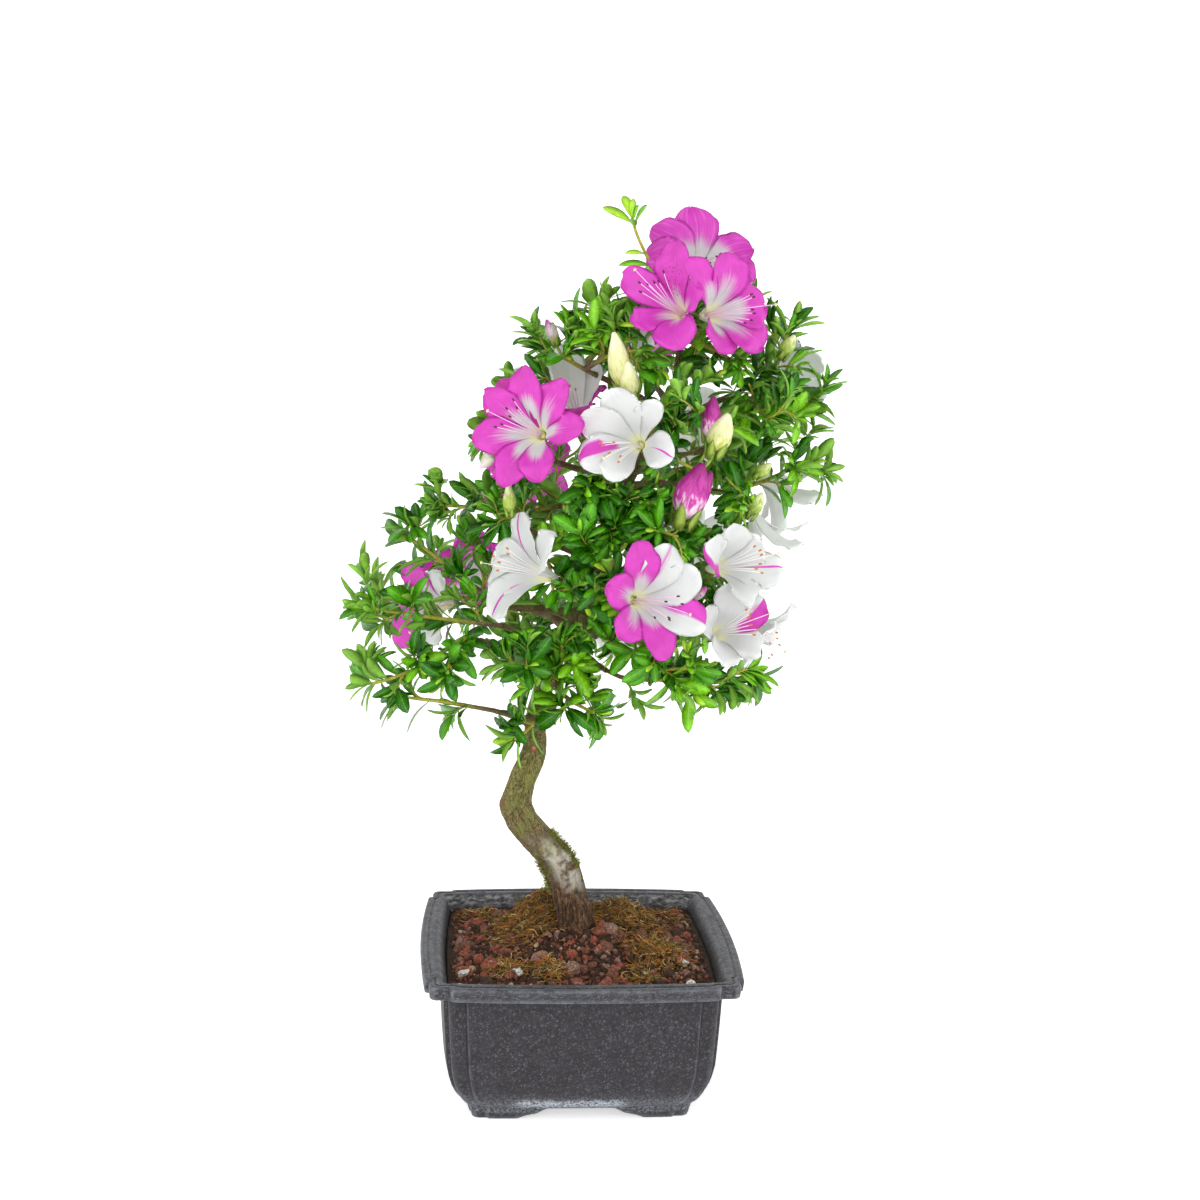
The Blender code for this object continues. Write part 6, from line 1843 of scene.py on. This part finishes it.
class AZALEA_OT_trunk(Operator):
    """Build the S-shaped trunk with its bark"""

    bl_idname = "azalea.trunk"
    bl_label = "Trunk"

    def execute(self, context):
        look = context.scene.azalea_wood
        rings, crack = trunk_rings(look.relief / MM)
        pile = Pile().add_limb(rings, crack)
        pile.piece("trunk_bark", [bark_material(look)], "trunk", ["trunk"])
        tufts = trunk_tufts(np.random.default_rng(29), rings)
        points, faces = tubes(tufts, TUFT_RADII, 3)
        moss = Pile().add(points, faces, np.arange(len(tufts))[:, None] % 2)
        greens = [moss_material("bright moss", "#8f9527"), moss_material("deep moss", "#5f6a18")]
        moss.piece("trunk_moss", greens, "trunk")
        return {"FINISHED"}


class AZALEA_OT_boughs(Operator):
    """Build the boughs, each with a collar at the trunk"""

    bl_idname = "azalea.boughs"
    bl_label = "Boughs"

    def execute(self, context):
        look = context.scene.azalea_wood
        pile = Pile()
        for name in BOUGHS:
            pile.add_limb(*bough_rings(name, look.relief / MM * 0.45))
        pile.piece("boughs", [bough_material(look)], "bough", ["bough_" + name for name in BOUGHS])
        return {"FINISHED"}


FOLIAGE = ["foliage_" + name for name in MASSES]


class AZALEA_OT_twigs(Operator):
    """Build the twigs, the shoots and their finer shoots"""

    bl_idname = "azalea.twigs"
    bl_label = "Twigs"

    def execute(self, context):
        (shoots, _), (sprigs, _), _, _ = grown()
        t, short = np.linspace(0, 1, TWIG_STATIONS), np.linspace(0, 1, SHOOT_POINTS)
        twigs = np.array([resample(path, t) for mass in MASSES for path, _, _ in twig_paths(mass)])
        pile = Pile()
        rods(pile, twigs, *TWIG_RADIUS, TWIG_SIDES, 1 - ease(t, 0.12, 0.45), 51)
        rods(pile, shoots, *SHOOT_RADIUS, SHOOT_SIDES, 0.35 * (1 - ease(short, 0, 0.5)), 52)
        rods(pile, sprigs, *SPRIG_RADIUS, SHOOT_SIDES, 0 * short, 53)
        pile.piece("twigs", [twig_material(context.scene.azalea_wood)], "foliage", FOLIAGE)
        return {"FINISHED"}


class AZALEA_OT_leaves(Operator):
    """Grow the leaves, one mesh for each shade"""

    bl_idname = "azalea.leaves"
    bl_label = "Leaves"

    def execute(self, context):
        look = context.scene.azalea_leaves
        *_, leaves, shades = grown()
        faces, slots = blade_faces(len(LEAF_STATIONS), 3)
        back = leaf_back_material(look)
        for k, shade in enumerate(SHADES):
            pile = Pile().add(leaves[shades == k], faces, slots[None], leaf_uv())
            front = leaf_material(shade + " leaf", getattr(look, shade + "_colour"))
            pile.piece("leaves_" + shade, [front, back], "foliage", FOLIAGE)
        return {"FINISHED"}


# The small parts of a flower, by slot: name, colour, roughness and any speckle.
SMALL_PARTS = (
    ("white filament", "#f3eef0", 0.5), ("pink filament", "#f0cbe8", 0.5),
    ("dark anther", "#4a1f24", 0.6, "#7a3a3a"), ("tan anther", "#c9772f", 0.6, "#e0a35a"),
    ("cream stigma", "#e9e3a6", 0.4, "#c9c26a"),
)


class AZALEA_OT_blossom(Operator):
    """Build the flowers: petals, stamens and stalks"""

    bl_idname = "azalea.blossom"
    bl_label = "Blossom"

    def execute(self, context):
        look = context.scene.azalea_blossom
        rng = np.random.default_rng(17)
        petal = [petal_material(look), petal_material(look, back=True)]
        petals = {mass: Pile() for mass, *_ in FLOWERS}
        fine, green = Pile(), Pile()
        s, w = np.meshgrid(PETAL_STATIONS, (PETAL_ACROSS + 1) / 2, indexing="ij")
        uv = np.column_stack([on_blade(w), on_blade(s)])
        faces, sides = blade_faces(len(PETAL_STATIONS), len(PETAL_ACROSS))
        for mass, centre, facing, width, lean, anthers, petal_rows in FLOWERS:
            axis, foot = unit(facing), flower_foot(centre, facing)
            letters, *ways = petal_ways(petal_rows)
            shapes = petal_points(rng, foot, axis, width, *ways, 0.35 if "s" in letters else 0.18)
            for shape, letter in zip(shapes, letters):
                petals[mass].add(shape, faces, sides[None], uv, **petal_colours(letter, rng))
            paths = stamen_paths(rng, foot, axis, width, lean, look.stamens)
            fine.add(*tubes(paths, np.linspace(0.26, 0.18, FILAMENT_STEPS), 5), int(letters[0] in "mfst"))
            ends, ways = paths[:, -1], paths[:, -1] - paths[:, -2]
            loose = unit(ways[:-1] + rng.normal(0, 0.02, (look.stamens, 3)))
            fine.add(*beads(ends[:-1], loose, 1.05, 0.52), 2 if anthers == "dark" else 3)
            fine.add(*beads(ends[-1:], unit(ways[-1:]), 0.6, 0.95), 4)
            fine.add(*beads(foot[None] + axis, axis[None], 1.6, 1.9), 4)
            green.add(*sepal_points(foot - axis * 1.5, axis, 6.5, 2.6, 0.35))
            green.add(*tubes(stalk_path(mass, foot, axis), np.linspace(0.6, 1, STALK_STEPS), 7))
        for mass, foot, tip, radius, _ in BUDS:
            foot = np.array(foot)
            axis = unit(tip - foot)
            green.add(*sepal_points(foot, axis, radius * 1.6, radius * 0.8, 0.22))
            green.add(*tubes(stalk_path(mass, foot, axis), np.linspace(0.55, 0.9, STALK_STEPS), 7))
        for mass, pile in petals.items():
            pile.piece("petals_" + mass, petal, "foliage", ["foliage_" + mass])
        fine.piece("stamens", [small_material(*part) for part in SMALL_PARTS], "foliage")
        green.piece("stalks", [small_material("green stalk", "#8fae3c", 0.55, "#b9c75a", 0.5)], "foliage")
        return {"FINISHED"}


BUD_TINTS = {
    "ivory": ("#b9c24e", "#dcdca0", "#efecc4"),
    "cream": ("#a9b957", "#eef0da", "#f3d9e6"),
    "rose": ("#b3bf62", "#e9d3e0", "#c2479f"),
    "deep": ("#ead2de", "#c02f9e", "#8f0a70"),
    "green": ("#7f9f3a", "#a9bf52", "#e6ebb8"),
}


class AZALEA_OT_buds(Operator):
    """Build the flower buds"""

    bl_idname = "azalea.buds"
    bl_label = "Buds"

    def execute(self, context):
        pile = Pile()
        for _, foot, tip, radius, tint in BUDS:
            rings = bud_rings(np.array(foot), np.array(tip), radius)
            pile.add(*loft(rings), list(BUD_TINTS).index(tint), unroll(BUD_ROWS, BUD_COLS))
        materials = [bud_material(name + " bud", *codes) for name, codes in BUD_TINTS.items()]
        pile.piece("buds", materials, "foliage")
        return {"FINISHED"}


# ---- stage ----

# The camera's place is in millimetres. Its lens and film, and the rest of the stage, are in
# millimetres and metres.
CAMERA_PLACE = np.array([-65.8, -956.9, 407.1])
CAMERA_TURNS = math.radians(-4.416), math.radians(8.797), math.radians(1.344)
CAMERA_LENS, CAMERA_FILM = 56.18, 36
NEAREST, FURTHEST = 0.05, 20
SWEEP = ((2.2, 0), (2.55, 0.08), (2.8, 0.3), (2.95, 0.65), (3, 1.1), (3, 2.4))
SWEEP_SIDES = 96
LIGHT_AIM = (0, 0, 0.25)
LIGHTS = (
    ("main light", (-0.9, -1.25, 1.5), 1.4, "key"),
    ("fill light", (1.3, -1, 0.9), 1.6, "fill"),
)


def linked(scene, name, data, place=(0, 0, 0), ways=np.eye(3)):
    """A new object on the scene, at a place, with its own three directions."""
    obj = bpy.data.objects.new(name, data)
    rows = np.eye(4)
    rows[:3, :3], rows[:3, 3] = np.transpose(ways), place
    obj.matrix_world = Matrix(rows.tolist())
    scene.collection.objects.link(obj)
    return obj


def add_camera(scene):
    """A camera in front of the tree and a little above it."""
    yaw, pitch, roll = CAMERA_TURNS
    level = np.array([-math.sin(yaw), math.cos(yaw), 0])
    ahead = level * math.cos(pitch) - UP * math.sin(pitch)
    right = np.array([math.cos(yaw), math.sin(yaw), 0])
    up = np.cross(right, ahead)
    data = bpy.data.cameras.new("camera")
    data.lens, data.sensor_width = CAMERA_LENS, CAMERA_FILM
    data.clip_start, data.clip_end = NEAREST, FURTHEST
    cos, sin = math.cos(roll), math.sin(roll)
    ways = right * cos + up * sin, up * cos - right * sin, -ahead
    scene.camera = linked(scene, "camera", data, CAMERA_PLACE * MM, ways)


class AZALEA_OT_stage(Operator):
    """Lay the white floor, hang the lights and place the camera"""

    bl_idname = "azalea.stage"
    bl_label = "Stage"

    def execute(self, context):
        scene = context.scene
        look = scene.azalea_stage
        turns = round_turns(SWEEP_SIDES)
        out, high = (np.array(SWEEP) / MM).T[..., None]
        rings = np.stack([out * np.cos(turns), out * np.sin(turns), high * np.ones_like(turns)], -1)
        points, faces = loft(rings)
        sweep = Pile().add(points[:-1], faces[:-SWEEP_SIDES, ::-1])
        floor = linked(scene, "floor", sweep.mesh("floor", [floor_material(look)]))
        for name, place, size, power in LIGHTS:
            data = bpy.data.lights.new(name, "AREA")
            data.shape, data.size, data.energy = "DISK", size, getattr(look, power)
            back = unit(np.array(place) - LIGHT_AIM)
            side = unit(np.cross(UP, back))
            linked(scene, name, data, place, (side, np.cross(back, side), back))
        scene.world = bpy.data.worlds.new("studio")
        scene.world.use_nodes = True
        sky = scene.world.node_tree.nodes["Background"].inputs
        sky["Color"].default_value = (1, 1, 1, 1)
        sky["Strength"].default_value = look.sky
        view = scene.view_settings
        view.view_transform, view.look, view.exposure = "Standard", "None", look.exposure
        add_camera(scene)
        return {"FINISHED"}


GROUPS = {
    "azalea_pot": AzaleaPot,
    "azalea_wood": AzaleaWood,
    "azalea_leaves": AzaleaLeaves,
    "azalea_blossom": AzaleaBlossom,
    "azalea_stage": AzaleaStage,
}
BUILDERS = (
    AZALEA_OT_pot, AZALEA_OT_soil, AZALEA_OT_stones, AZALEA_OT_moss, AZALEA_OT_trunk, AZALEA_OT_boughs,
    AZALEA_OT_twigs, AZALEA_OT_leaves, AZALEA_OT_blossom, AZALEA_OT_buds, AZALEA_OT_stage,
)


class AZALEA_PT_panel(Panel):
    """Lists the settings and the pieces"""

    bl_label = bl_category = "Azalea"
    bl_idname = "AZALEA_PT_panel"
    bl_space_type, bl_region_type = "VIEW_3D", "UI"

    def draw(self, context):
        for key, group in GROUPS.items():
            box = self.layout.box()
            box.label(text=group.__name__.replace("Azalea", ""))
            for name in group.__annotations__:
                box.prop(getattr(context.scene, key), name)
        for builder in BUILDERS:
            self.layout.operator(builder.bl_idname)


CLASSES = (*GROUPS.values(), *BUILDERS, AZALEA_PT_panel)


def register():
    for cls in CLASSES:
        bpy.utils.register_class(cls)
    for key, group in GROUPS.items():
        setattr(bpy.types.Scene, key, bpy.props.PointerProperty(type=group))


def unregister():
    for key in GROUPS:
        delattr(bpy.types.Scene, key)
    for cls in reversed(CLASSES):
        bpy.utils.unregister_class(cls)


def main():
    register()
    for builder in BUILDERS:
        area, name = builder.bl_idname.split(".")
        if getattr(getattr(bpy.ops, area), name)() != {"FINISHED"}:
            raise RuntimeError(f"{builder.bl_label} wasn't built")


if __name__ == "__main__":
    main()
